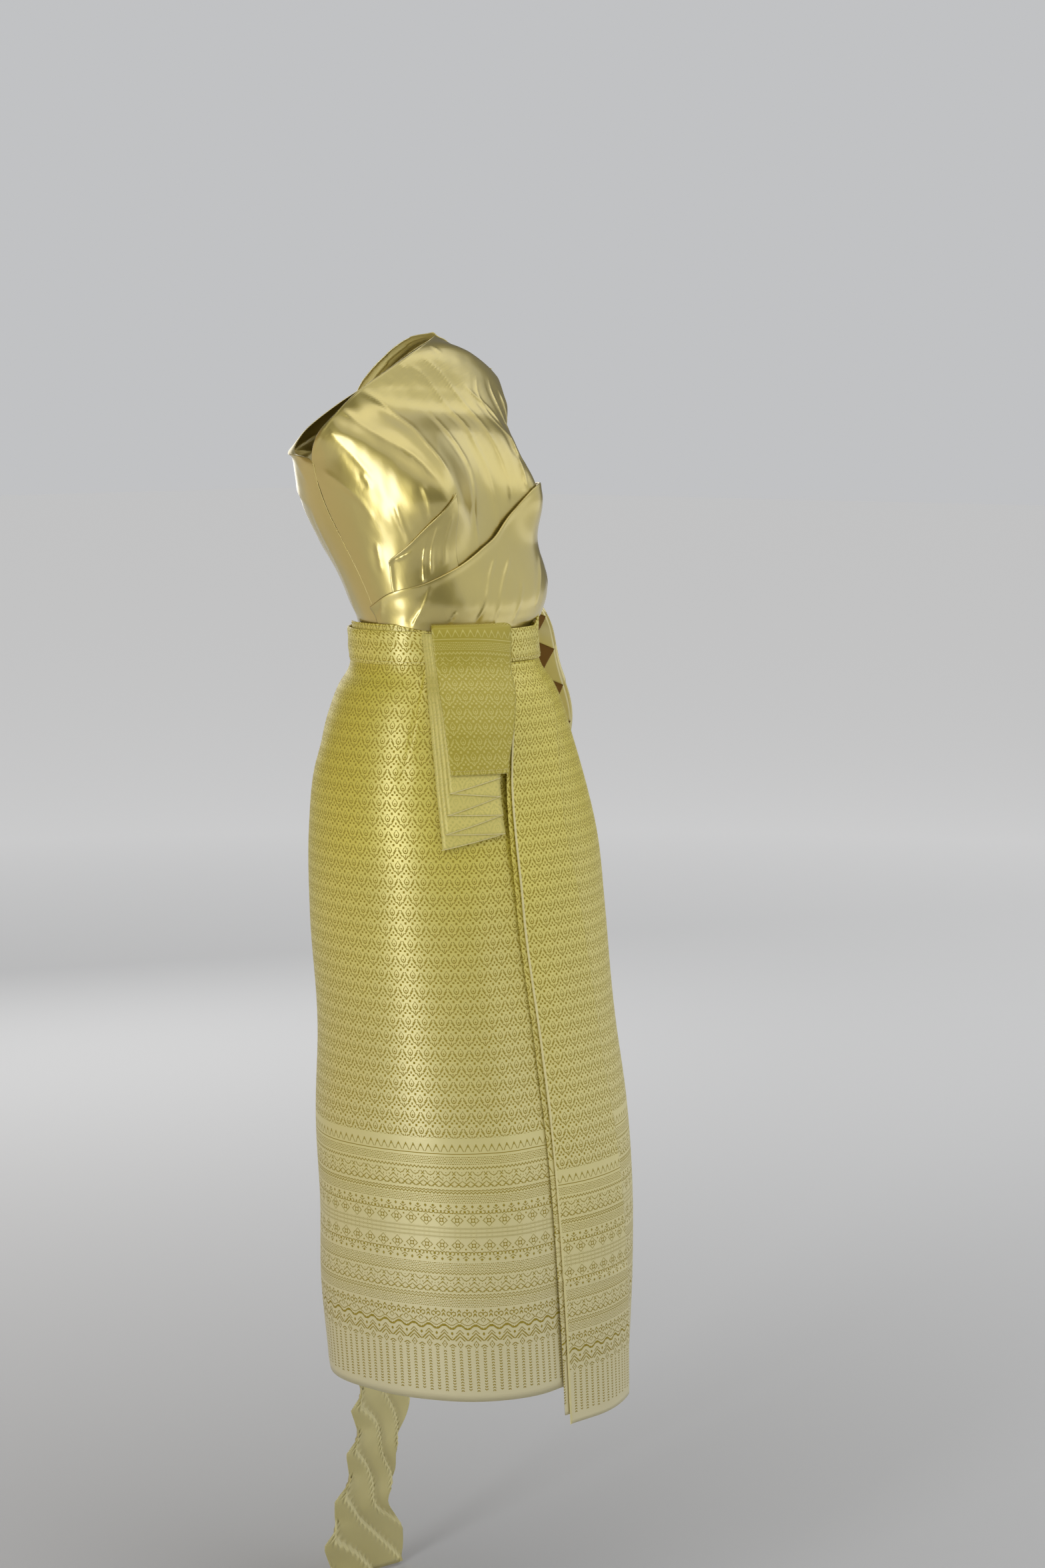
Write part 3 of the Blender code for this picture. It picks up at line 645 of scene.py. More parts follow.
# painted shade: a dark brown for the backs of the sash's folded cascade, where shade falls between the
# layers
sashFoldShade = plainCloth("Painted shade in the sash cascade", (0.25, 0.125, 0.025), 0.55, 0.3)
thread = plainCloth("Gold thread", (0.66, 0.57, 0.24), 0.6)
selvage = plainCloth("Selvage", (0.82, 0.73, 0.36), 0.6)
stitches = stitchTree()
plainStitch = {"Pitch": 0.0032, "Stitch Length": 0.0025, "Thread Radius": 0.00035, "Thread": thread}
pickStitch = {**plainStitch, "Pitch": 0.0040, "Stitch Length": 0.0022, "Thread Radius": 0.0006}
rope = {"Pitch": 0.0013, "Stitch Length": 0.0020, "Thread Radius": 0.0008, "Thread": selvage}
foldCord = {"Pitch": 0.0016, "Stitch Length": 0.0030, "Thread Radius": 0.00065, "Thread": selvage}
print("cloth finishes and threads made")

# The bodice: rows from the hidden lower edge (0) to the shoulder seam (14)
frontRows = table(
    "rightX rightY rightZ leftX leftY leftZ midY midZ",
    [
        (-0.1155, 0.000, -0.060, 0.1155, 0.000, -0.060, -0.0955, -0.060),
        (-0.1160, -0.002, 0.000, 0.1160, -0.002, 0.000, -0.0960, 0.000),
        (-0.1180, 0.008, 0.030, 0.1180, 0.008, 0.030, -0.0945, 0.030),
        (-0.1250, 0.025, 0.070, 0.1250, 0.025, 0.070, -0.0840, 0.070),
        (-0.1330, 0.045, 0.110, 0.1330, 0.045, 0.110, -0.0740, 0.110),
        (-0.1400, 0.060, 0.143, 0.1400, 0.060, 0.143, -0.0650, 0.143),
        (-0.1445, 0.070, 0.172, 0.1445, 0.070, 0.172, -0.0560, 0.172),
        (-0.1470, 0.078, 0.200, 0.1470, 0.078, 0.200, -0.0420, 0.203),
        (-0.1490, 0.068, 0.230, 0.1500, 0.052, 0.222, -0.0240, 0.232),
        (-0.1360, 0.052, 0.254, 0.1500, 0.030, 0.243, 0.0000, 0.258),
        (-0.1120, 0.036, 0.281, 0.1510, 0.026, 0.262, 0.0100, 0.283),
        (-0.0680, 0.025, 0.307, 0.1540, 0.034, 0.279, 0.0180, 0.305),
        (-0.0240, 0.027, 0.327, 0.1600, 0.044, 0.292, 0.0290, 0.322),
        (0.0180, 0.041, 0.340, 0.1690, 0.056, 0.300, 0.0450, 0.333),
        (0.0620, 0.066, 0.350, 0.1760, 0.068, 0.305, 0.0670, 0.331),
    ],
)
backRows = table(
    "rightX rightY rightZ leftX leftY leftZ midY midZ",
    [
        (-0.1155, 0.000, -0.060, 0.1155, 0.000, -0.060, 0.0880, -0.060),
        (-0.1160, -0.002, 0.000, 0.1160, -0.002, 0.000, 0.0900, 0.000),
        (-0.1180, 0.008, 0.030, 0.1180, 0.008, 0.030, 0.1030, 0.030),
        (-0.1250, 0.025, 0.070, 0.1250, 0.025, 0.070, 0.1200, 0.070),
        (-0.1330, 0.045, 0.110, 0.1330, 0.045, 0.110, 0.1480, 0.110),
        (-0.1400, 0.060, 0.143, 0.1400, 0.060, 0.143, 0.1650, 0.143),
        (-0.1445, 0.070, 0.172, 0.1445, 0.070, 0.172, 0.1710, 0.172),
        (-0.1470, 0.078, 0.200, 0.1470, 0.078, 0.200, 0.1720, 0.203),
        (-0.1380, 0.112, 0.207, 0.1490, 0.100, 0.215, 0.1700, 0.214),
        (-0.1100, 0.138, 0.221, 0.1500, 0.112, 0.235, 0.1660, 0.231),
        (-0.0700, 0.152, 0.242, 0.1520, 0.112, 0.255, 0.1600, 0.251),
        (-0.0250, 0.150, 0.267, 0.1560, 0.104, 0.273, 0.1500, 0.273),
        (0.0200, 0.132, 0.296, 0.1630, 0.093, 0.288, 0.1300, 0.297),
        (0.0480, 0.100, 0.328, 0.1700, 0.080, 0.299, 0.1010, 0.319),
        (0.0620, 0.067, 0.350, 0.1760, 0.069, 0.305, 0.0680, 0.331),
    ],
)
topRow = 14.0
sideSeamTopRow = 7.0
seamReach = 0.10
seamHold = 0.84
seamFadeRows = 1.5
seamHeldWidth = 0.035
seamHeldRows = 0.8
cup = {"across": 0.085, "height": 0.160, "rise": 0.041, "halfWidth": 0.050, "below": 0.052, "above": 0.078}
fall = {"across": 0.80, "halfWidth": 0.17, "height": 0.050, "halfHeight": 0.055, "out": 0.021, "end": 0.011}


def panelRows(rows, across, row):
    index = np.arange(len(rows["midY"]), dtype=float)
    value = {name: through(index, column, row) for name, column in rows.items()}
    flat = smoothStep((row - sideSeamTopRow) / 4.0)
    full = 0.1 * smoothStep((row - 1.2) / 2.0)
    side = (1.0 - flat) * np.sin((across - 0.5) * math.pi) + flat * (2.0 * across - 1.0)
    middle = np.maximum(1.0 - side**2, 0.0) ** ((1.0 + flat - full) / 2.0)
    parts = []
    for axis in "XYZ":
        right, left = value["right" + axis], value["left" + axis]
        centre, half = (right + left) / 2, (left - right) / 2
        reach = value["mid" + axis] - centre if axis != "X" else 0.0
        parts.append(centre + half * side + reach * middle)
    return np.stack(parts, axis=-1)


def clearOfSeam(across, row):
    beside = 1.0 - smoothStep(np.minimum(across, 1.0 - across) / seamReach)
    return 1.0 - seamHold * beside * (1.0 - smoothStep((row - sideSeamTopRow) / seamFadeRows))


def frontForm(across, row):
    points = panelRows(frontRows, across, row)
    x, z = points[..., 0], points[..., 2]
    lift = np.zeros_like(x)
    for side in (-1, 1):
        halfHeight = np.where(z > cup["height"], cup["above"], cup["below"])
        lift += bump((x - side * cup["across"]) / cup["halfWidth"]) * bump((z - cup["height"]) / halfHeight)
    droop = bump((across - fall["across"]) / fall["halfWidth"])
    droop *= bump((z - fall["height"]) / fall["halfHeight"]) * smoothStep(z / fall["end"])
    points[..., 1] -= cup["rise"] * np.minimum(lift, 1.0) * clearOfSeam(across, row)
    return movedOut(points, fall["out"] * droop)


def backForm(across, row):
    return panelRows(backRows, across, row)


referenceSteps = 160
referenceAcross, referenceRow = grid(
    np.linspace(0, 1, referenceSteps), np.linspace(0, topRow, referenceSteps)
)
frontReference = frontForm(referenceAcross, referenceRow)
backReference = backForm(referenceAcross, referenceRow)


def readReference(reference, across, row):
    first = np.clip(across, 0, 1) * (referenceSteps - 1)
    second = np.clip(row / topRow, 0, 1) * (referenceSteps - 1)
    i = np.minimum(first.astype(int), referenceSteps - 2)
    j = np.minimum(second.astype(int), referenceSteps - 2)
    a, b = (first - i)[..., None], (second - j)[..., None]
    low = reference[i, j] * (1 - a) + reference[i + 1, j] * a
    high = reference[i, j + 1] * (1 - a) + reference[i + 1, j + 1] * a
    return low * (1 - b) + high * b


def foldRelief(points, folds, pathOf):
    # each fold is a line of places on the cloth, a half width, a height, and how sharp its lower side is
    relief = np.zeros(points.shape[:2])
    normals = normalsOf(points)
    for number, (line, halfWidth, height, sharp) in enumerate(folds):
        knots = np.array(line, float)
        stations = np.arange(len(knots), dtype=float)
        at = np.linspace(0, len(knots) - 1, 60)
        path = pathOf(through(stations, knots[:, 0], at), through(stations, knots[:, 1], at))
        low, high = path.min(axis=0) - 4 * halfWidth, path.max(axis=0) + 4 * halfWidth
        near = np.all((points > low) & (points < high), axis=2)
        if not near.any():
            continue
        gaps = points[near][:, None] - path[None]
        distance = np.linalg.norm(gaps, axis=2)
        closest = distance.argmin(axis=1)
        away = distance[np.arange(len(closest)), closest]
        way = np.gradient(path, axis=0)[closest]
        side = np.einsum("ij,ij->i", np.cross(way, normals[near]), gaps[np.arange(len(closest)), closest])
        share = closest / (len(path) - 1)
        ends = smoothStep(share / 0.15 + 0.12) * smoothStep((1 - share) / 0.15 + 0.12)
        uneven = 1.0 + 0.22 * np.sin(9 * share + 1.7 * number) + 0.12 * np.sin(23 * share + number)
        width = np.where(side > 0, halfWidth * sharp, halfWidth)
        shape = bump(away / width) - 0.35 * bump((away - 1.6 * halfWidth) / halfWidth) * (side > 0)
        relief[near] += height * shape * ends * uneven
    return relief


drapeFolds = [
    ([(0.000, 10.72), (0.145, 10.32)], 0.0039, 0.00051, 0.33),
    ([(0.000, 11.30), (0.168, 10.78)], 0.0036, 0.00051, 0.33),
    ([(0.080, 12.64), (0.295, 11.98)], 0.0039, 0.00051, 0.39),
    ([(0.000, 10.02), (0.198, 9.26), (0.307, 8.34), (0.335, 7.40), (0.345, 6.28)], 0.0053, 0.00116, 0.30),
    ([(0.000, 9.24), (0.130, 8.50), (0.217, 7.74), (0.268, 7.10), (0.292, 6.12)], 0.0048, 0.00102, 0.30),
    ([(0.065, 11.22), (0.378, 10.24), (0.527, 8.80), (0.535, 7.38), (0.540, 5.44), (0.537, 4.16)],
     0.0056, 0.00102, 0.33),
    ([(0.080, 11.88), (0.475, 10.42), (0.605, 9.06), (0.605, 7.76), (0.593, 6.06), (0.585, 5.00)],
     0.0053, 0.00087, 0.33),
    ([(0.422, 9.04), (0.463, 7.56), (0.473, 6.24), (0.440, 4.88), (0.440, 3.56)], 0.0045, 0.00087, 0.33),
    ([(0.595, 10.46), (0.733, 9.20), (0.698, 7.82), (0.647, 6.20), (0.652, 5.68)], 0.0042, 0.00102, 0.28),
    ([(0.688, 11.20), (0.703, 8.22), (0.682, 7.22), (0.718, 6.58)], 0.0039, 0.00087, 0.33),
    ([(0.820, 11.60), (0.840, 9.20), (0.800, 7.60), (0.760, 6.60)], 0.0045, 0.00087, 0.33),
    ([(0.930, 11.20), (0.945, 9.00), (0.900, 7.00), (0.860, 5.60)], 0.0045, 0.00080, 0.33),
    ([(0.250, 6.04), (0.253, 4.94), (0.263, 4.58)], 0.0033, 0.00072, 0.33),
    ([(0.173, 5.18), (0.182, 4.46), (0.200, 3.82)], 0.0033, 0.00072, 0.33),
    ([(0.100, 3.82), (0.085, 3.02)], 0.0033, 0.00051, 0.39),
    ([(0.125, 6.46), (0.130, 5.86)], 0.0033, 0.00051, 0.39),
    ([(0.030, 8.20), (0.110, 7.30), (0.150, 6.20)], 0.0045, 0.00051, 0.44),
    ([(0.020, 6.60), (0.080, 5.60), (0.110, 4.60)], 0.0045, 0.00051, 0.44),
]
tuckFolds = [
    ([(0.247, 3.76), (0.223, 2.66)], 0.0029, 0.00070, 0.36),
    ([(0.278, 4.46), (0.255, 2.90)], 0.0029, 0.00084, 0.36),
    ([(0.208, 3.58), (0.147, 3.32)], 0.0029, 0.00063, 0.36),
    ([(0.315, 4.90), (0.305, 3.20)], 0.0031, 0.00098, 0.36),
]
wrapFolds = [
    ([(0.487, 3.32), (0.443, 2.60), (0.375, 1.18)], 0.0037, 0.00084, 0.28),
    ([(0.240, 2.60), (0.188, 1.78), (0.147, 1.08)], 0.0037, 0.00078, 0.33),
    ([(0.062, 2.20), (0.013, 1.26)], 0.0037, 0.00052, 0.39),
    ([(0.307, 1.76), (0.278, 1.20)], 0.0031, 0.00059, 0.33),
    ([(0.560, 3.36), (0.482, 2.22), (0.445, 1.08)], 0.0037, 0.00078, 0.33),
    ([(0.595, 2.58), (0.537, 1.16)], 0.0037, 0.00072, 0.33),
    ([(0.730, 3.38), (0.660, 1.70)], 0.0043, 0.00072, 0.39),
    ([(0.820, 4.60), (0.770, 2.20)], 0.0043, 0.00065, 0.39),
    ([(0.910, 4.40), (0.880, 1.80)], 0.0043, 0.00059, 0.39),
]
backFolds = [
    ([(0.970, 12.2), (0.720, 9.40), (0.480, 7.00), (0.240, 4.80)], 0.0067, 0.00112, 0.42),
    ([(0.880, 11.8), (0.560, 8.60), (0.260, 6.20), (0.060, 4.80)], 0.0067, 0.00098, 0.42),
    ([(0.990, 10.6), (0.860, 8.00), (0.720, 5.00), (0.620, 2.60)], 0.0075, 0.00126, 0.42),
    ([(0.300, 9.60), (0.150, 7.40), (0.040, 6.00)], 0.0060, 0.00077, 0.42),
    ([(0.480, 5.20), (0.440, 3.00), (0.430, 1.20)], 0.0060, 0.00098, 0.42),
    ([(0.200, 4.00), (0.250, 2.40), (0.300, 1.10)], 0.0060, 0.00091, 0.42),
    ([(0.800, 4.20), (0.740, 2.20), (0.700, 1.10)], 0.0060, 0.00091, 0.42),
    ([(0.080, 5.00), (0.120, 3.00), (0.170, 1.30)], 0.0053, 0.00077, 0.42),
    ([(0.930, 5.00), (0.900, 3.00), (0.860, 1.30)], 0.0053, 0.00077, 0.42),
]


def frontPath(across, row):
    return readReference(frontReference, across, row)


def backPath(across, row):
    return readReference(backReference, across, row)


def freeOfSeam(across, row):
    # no relief along the side seams, where the front and the back meet
    beside = smoothStep(across / seamHeldWidth) * smoothStep((1 - across) / seamHeldWidth)
    return np.maximum(beside, smoothStep((row - sideSeamTopRow) / seamHeldRows))


def frontPiece(across, row, out, folds, seed):
    points = frontForm(across, row)
    relief = foldRelief(points, folds, frontPath)
    relief += 0.00009 * ripple(points[..., 0] - points[..., 1], points[..., 2], seed)
    relief *= freeOfSeam(across, row)
    points = movedOut(points, relief + out)
    points[..., 1] -= seamGap
    return points


def clothUv(points):
    return np.stack([lengthsAlong(points, 1), lengthsAlong(points, 0)], axis=-1)


drape = {"acrossSteps": 210, "rowSteps": 175, "turned": 0.0011, "flat": (0.46, 0.46)}
across, row = grid(np.linspace(0, 1, drape["acrossSteps"]), np.linspace(0, topRow, drape["rowSteps"]))
edgeRoll = 0.0007 * bump((across * 0.28) / 0.0025) * smoothStep((row - 7.0) / 0.6)
points = frontPiece(across, row, edgeRoll, drapeFolds, 11)
points, uv = turnedEdge(points, clothUv(points), drape["turned"], axis=0, atEnd=False)
points, uv = turnedEdge(points, uv, drape["turned"], axis=0)
clothPiece("frontDrape", [(points, uv, 0)], lameWall, [bodiceLame], "bodice_front_drape",
           drape["flat"])

tuck = {
    "steps": 90,
    "roll": 0.0012,
    "turned": 0.0012,
    "flat": (0.080, 0.095),
    "edges": table(
        "share lowRow lowAcross highRow highAcross",
        [
            (0.00, 1.95, 0.095, 3.30, 0.130),
            (0.33, 2.10, 0.180, 3.80, 0.203),
            (0.66, 2.30, 0.270, 4.62, 0.265),
            (1.00, 2.70, 0.355, 5.60, 0.332),
        ],
    ),
}
share, level = grid(np.linspace(0, 1, tuck["steps"]), np.linspace(0, 1, tuck["steps"]))
edges = {name: read(tuck["edges"], "share", name, share) for name in tuck["edges"]}
across = edges["lowAcross"] + (edges["highAcross"] - edges["lowAcross"]) * level
row = edges["lowRow"] + (edges["highRow"] - edges["lowRow"]) * level
roll = tuck["roll"] * bump((1 - level) / 0.06) + tuck["roll"] * 0.8 * bump(share / 0.05)
points = frontPiece(across, row, layerStep + roll, tuckFolds, 12)
points, uv = turnedEdge(points, clothUv(points), tuck["turned"])
points, uv = turnedEdge(points, uv, tuck["turned"], axis=0, atEnd=False)
clothPiece("midTuck", [(points, uv, 0)], lameWall, [bodiceLame], "bodice_mid_tuck",
           tuck["flat"])

wrap = {
    "acrossSteps": 230,
    "levelSteps": 64,
    "roll": 0.0012,
    "turned": 0.0013,
    "flat": (0.42, 0.16),
    "edge": table(
        "across row",
        [(0.00, 1.90), (0.08, 2.30), (0.23, 2.64), (0.35, 3.10), (0.44, 3.56), (0.52, 4.02), (0.59, 4.84),
         (0.65, 5.60), (0.74, 5.90), (0.86, 5.50), (1.00, 4.40)],
    ),
}
across, level = grid(np.linspace(0, 1, wrap["acrossSteps"]), np.linspace(0, 1, wrap["levelSteps"]))
row = level * read(wrap["edge"], "across", "row", across)
topEdge = read(wrap["edge"], "across", "row", across)
roll = wrap["roll"] * bump((topEdge - row) / 0.16)
points = frontPiece(across, row, layerStep * (1.0 + smoothStep(row - 1.2)) + roll, wrapFolds, 13)
points, uv = turnedEdge(points, clothUv(points), wrap["turned"])
clothPiece("lowerWrap", [(points, uv, 0)], lameWall, [bodiceLame], "bodice_lower_wrap",
           wrap["flat"])

backPanel = {"rowSteps": 130, "acrossSteps": 120, "turned": 0.0005, "flat": (0.40, 0.42)}
row, across = grid(
    np.linspace(0, topRow, backPanel["rowSteps"]), np.linspace(0, 1, backPanel["acrossSteps"])
)
points = backForm(across, row)
relief = foldRelief(points, backFolds, backPath) + 0.0002 * ripple(points[..., 0], points[..., 2], 14)
points = movedOut(points, relief * freeOfSeam(across, row))
points[..., 1] += seamGap
points, uv = turnedEdge(points, clothUv(points), backPanel["turned"], atEnd=False)
points, uv = turnedEdge(points, uv, backPanel["turned"])
clothPiece("backPanel", [(points, uv, 0)], lameWall, [bodiceLame], "bodice_back",
           backPanel["flat"])
print("bodice made")

# The skirt
skirtRows = table(
    "drop halfWidth halfDepth middleY squareness",
    [
        (-0.010, 0.1240, 0.1035, 0.000, 2.00),
        (0.020, 0.1243, 0.1038, -0.002, 2.00),
        (0.040, 0.1252, 0.1046, -0.004, 2.00),
        (0.052, 0.1290, 0.1085, -0.005, 2.00),
        (0.068, 0.1400, 0.1190, -0.006, 2.00),
        (0.100, 0.1540, 0.1330, -0.007, 2.00),
        (0.136, 0.1650, 0.1430, -0.007, 2.02),
        (0.169, 0.1740, 0.1510, -0.008, 2.05),
        (0.245, 0.1850, 0.1640, -0.016, 2.08),
        (0.347, 0.1890, 0.1690, -0.024, 2.10),
        (0.493, 0.1910, 0.1730, -0.038, 2.12),
        (0.594, 0.1985, 0.1815, -0.045, 2.14),
        (0.692, 0.1985, 0.1820, -0.052, 2.16),
        (0.793, 0.1980, 0.1820, -0.054, 2.16),
        (0.905, 0.1915, 0.1765, -0.057, 2.14),
        (0.960, 0.1895, 0.1745, -0.058, 2.12),
    ],
)
skirtFolds = [  # top angle, top drop, bottom angle, bottom drop, half angle, height
    (-30, 0.20, -14, 0.72, 11, -0.0080),
    (-100, 0.45, -112, 0.96, 15, 0.0060),
    (-72, 0.50, -66, 0.96, 14, -0.0035),
    (-146, 0.40, -150, 0.96, 16, -0.0050),
    (170, 0.35, 176, 0.96, 14, 0.0050),
    (120, 0.40, 126, 0.96, 15, -0.0050),
    (80, 0.40, 74, 0.96, 13, 0.0050),
]
darts = [  # top angle, bottom angle, bottom drop
    (-56.0, -63.0, 0.150),
    (56.0, 63.0, 0.150),
    (-138.0, -134.0, 0.135),
    (138.0, 134.0, 0.135),
]


def skirtForm(angle, drop, out=0.0):
    width = read(skirtRows, "drop", "halfWidth", drop)
    depth = read(skirtRows, "drop", "halfDepth", drop)
    middle = read(skirtRows, "drop", "middleY", drop)
    power = 2.0 / read(skirtRows, "drop", "squareness", drop)
    turn = np.radians(angle)
    side, front = np.sin(turn), np.cos(turn)
    relief = np.zeros_like(side * drop) + out
    for topAngle, topDrop, bottomAngle, bottomDrop, halfAngle, height in skirtFolds:
        share = (drop - topDrop) / (bottomDrop - topDrop)
        centre = topAngle + (bottomAngle - topAngle) * share
        away = (angle - centre + 180.0) % 360.0 - 180.0
        relief += height * bump(away / halfAngle) * smoothStep(share * 2.5)
    x = (width + relief) * np.sign(side) * np.abs(side) ** power
    y = middle - (depth + relief) * np.sign(front) * np.abs(front) ** power
    return np.stack([x, y, -drop + 0.0 * x], axis=-1)


def dartRelief(angle, drop):
    relief = np.zeros_like(angle * drop)
    for topAngle, bottomAngle, bottomDrop in darts:
        share = (drop - 0.03) / (bottomDrop - 0.03)
        centre = topAngle + (bottomAngle - topAngle) * share
        away = (angle - centre) / 180.0 * math.pi * 0.15
        taken = 1.0 - smoothStep((share - 0.75) / 0.3)
        relief += (-0.0014 * bump(away / 0.0016) + 0.0007 * bump((away - 0.006) / 0.005)) * taken
        relief -= 0.0012 * bump((share - 1.12) / 0.12) * bump(away / 0.010)  # the dimple below its point
    return relief


def skirtUv(points, drops, angles, fromAngle):
    around = lengthsAlong(points, 1)
    column = int(np.abs(angles - fromAngle).argmin())
    around = around - around[:, column : column + 1]
    down = lengthsAlong(points, 0).mean(axis=1)
    above = (down[-1] - down)[:, None] + 0.0 * around
    return np.stack([around, above], axis=-1)


skirt = {
    "topDrop": 0.0120,
    "hipDrop": 0.17,
    "rowsAboveHip": 40,
    "rowsBelowHip": 82,
    "seamAngle": 0.083,
    "angleStep": 1.5,
    "dartStep": 0.5,
    "flat": (0.62, 0.90),
    "sway": 0.0004,
}


def skirtAngles(first, last):
    angles = list(np.arange(first, last, skirt["angleStep"])) + [last]
    for topAngle, bottomAngle, _ in darts:
        low, high = min(topAngle, bottomAngle) - 4, max(topAngle, bottomAngle) + 4
        if first < low and high < last:
            angles += list(np.arange(low, high, skirt["dartStep"]))
    angles = np.unique(np.round(angles, 3))
    return angles[np.concatenate([[True], np.diff(angles) > 0.2])]


def skirtHalf(name, node, first, last, fromAngle, seed):
    upper = np.linspace(skirt["topDrop"], skirt["hipDrop"], skirt["rowsAboveHip"])
    lower = np.linspace(skirt["hipDrop"], hemDrop, skirt["rowsBelowHip"])
    drops = np.concatenate([upper, lower[1:]])
    angles = skirtAngles(first, last)
    drop, angle = grid(drops, angles)
    relief = dartRelief(angle, drop)
    relief += skirt["sway"] * ripple(np.radians(angle) * 0.19, drop, seed, 7, 0.30, 0.09)
    relief -= 0.0008 * bump((drop - hemDrop) / 0.002)  # the turned hem draws in
    relief -= 0.0016 * bump((np.abs(angle) - 180) / 0.5)  # the centre back seam
    points = movedOut(skirtForm(angle, drop), relief)
    points[0, :, 2] = -drops[0]
    uv = skirtUv(points, drops, angles, fromAngle)
    return clothPiece(name, [(points, uv, 0)], brocadeWall, [skirtBrocade], node, skirt["flat"])


skirtHalf("skirtRight", "skirt_right", -180 + skirt["seamAngle"], -skirt["seamAngle"], -75.0, 21)
skirtHalf("skirtLeft", "skirt_left", skirt["seamAngle"], 180 - skirt["seamAngle"], 75.0, 22)

band = {
    "height": 0.040,
    "wall": 0.0026,
    "out": 0.0033,
    "angleStep": 1.5,
    "rowSteps": 22,
    "ear": {"angle": 38.0, "half": 2.6, "rise": 0.014, "flare": 0.003},
    "flat": (0.77, 0.042),
    "stitchDrop": 0.0370,
}
angles = np.arange(skirt["seamAngle"], 360.0 - skirt["seamAngle"], band["angleStep"])
angles = np.append(angles, 360.0 - skirt["seamAngle"])
drop, angle = grid(np.linspace(0.0, band["height"], band["rowSteps"]), angles)
pulled = band["out"] - 0.0007 * bump(drop / 0.003) - 0.0007 * bump((band["height"] - drop) / 0.003)
pulled += 0.0003 * ripple(np.radians(angle) * 0.12, drop, 31, 7, 0.08, 0.02)
ear = bump((angle - band["ear"]["angle"]) / band["ear"]["half"]) * (1 - drop / band["height"]) ** 3
points = skirtForm(angle, drop, pulled + band["ear"]["flare"] * ear)
points[..., 2] += band["ear"]["rise"] * ear
uv = clothUv(points)
uv[..., 1] = uv[..., 1].max() - uv[..., 1]
clothPiece("outerBand", [(points, uv, 0)], band["wall"], [bandBrocade], "waistband", band["flat"],
           bevel=0.0008)

stitchRow = int(np.abs(drop[:, 0] - band["stitchDrop"]).argmin())
seamLine("bandStitches", onSurface(points, stitchRow, axis=0), plainStitch)

underlap = {"first": -126.0, "last": -53.0, "depth": 0.030, "rise": 0.007, "wall": 0.0014,
            "flat": (0.17, 0.037)}
level, angle = grid(np.linspace(0, 1, 14), np.linspace(underlap["first"], underlap["last"], 60))
rise = underlap["rise"] * smoothStep((underlap["last"] - angle) / 25.0) + 0.0005
drop = -rise + level * (underlap["depth"] + rise)
points = skirtForm(angle, drop, -0.0019 + 0.0002 * ripple(np.radians(angle) * 0.12, drop, 32))
clothPiece("bandUnderlap", [(points, clothUv(points), 0)], underlap["wall"], [bandBrocade],
           "waistband_underlap", underlap["flat"], bevel=0.0004)
seamLine("underlapStitches", onSurface(points, 1, axis=0), plainStitch, seed=2)

pleats = {
    "edges": table(
        "drop rightEdge leftEdge stand",
        [
            (0.040, -11.0, 22.0, 0.000),
            (0.075, -12.5, 20.0, 0.004),
            (0.160, -18.0, 9.5, 0.006),
            (0.237, -20.7, 4.5, 0.004),
            (0.320, -19.5, 8.0, 0.002),
            (0.465, -16.5, 12.0, 0.001),
            (0.690, -13.5, 17.5, 0.001),
            (0.960, -8.0, 31.0, 0.001),
        ],
    ),
    "outer": {"inset": 0.0, "out": 0.0052, "length": 0.952, "selvage": 0.0017, "flat": (0.11, 0.93)},
    "under": {"inset": -1.9, "out": 0.0026, "length": 0.940, "selvage": 0.0, "flat": (0.12, 0.92)},
    "crease": {"drop": 0.770, "slant": 0.06, "depth": 0.0011},
}


def pleat(name, node, facts, seed):
    drops = np.linspace(0.040 + seamGap, facts["length"], 190)
    shares = np.concatenate(
        [np.linspace(0, 0.06, 12), np.linspace(0.06, 0.95, 34)[1:-1], np.linspace(0.95, 1, 5)]
    )
    drop, share = grid(drops, shares)
    start = read(pleats["edges"], "drop", "rightEdge", drop) + facts["inset"]
    end = read(pleats["edges"], "drop", "leftEdge", drop) - abs(facts["inset"])
    stand = read(pleats["edges"], "drop", "stand", drop) * (1.0 - share) ** 3
    points = skirtForm(start + (end - start) * share, drop, facts["out"] + stand)
    crease = drop - pleats["crease"]["drop"] - pleats["crease"]["slant"] * (share - 0.5) * 0.2
    relief = -pleats["crease"]["depth"] * bump(crease / 0.0022) + 0.0008 * bump((crease - 0.006) / 0.006)
    relief += 0.0004 * ripple(share * 0.1, drop, seed, 7, 0.25, 0.07)
    relief -= 0.0006 * bump(share / 0.02) + 0.0006 * bump((1 - share) / 0.02)
    points = movedOut(points, relief)
    uv = clothUv(points)
    uv[..., 1] = (uv[-1:, :, 1] - uv[..., 1]).mean(axis=1, keepdims=True) + 0.0 * uv[..., 1]
    piece = clothPiece(name, [(points, uv, 0)], brocadeWall, [skirtBrocade, selvage], node,
                       facts["flat"])
    edge = uv[..., 0][:-1, :-1].ravel() < facts["selvage"]
    piece.data.polygons.foreach_set("material_index", np.where(edge, 1, 0))
    return points


points = pleat("pleatOuter", "pleat_outer", pleats["outer"], 41)
seamLine("pleatSelvage", onSurface(points, 0, out=-0.0003), rope)
pleat("pleatUnder", "pleat_under", pleats["under"], 42)
print("skirt made")

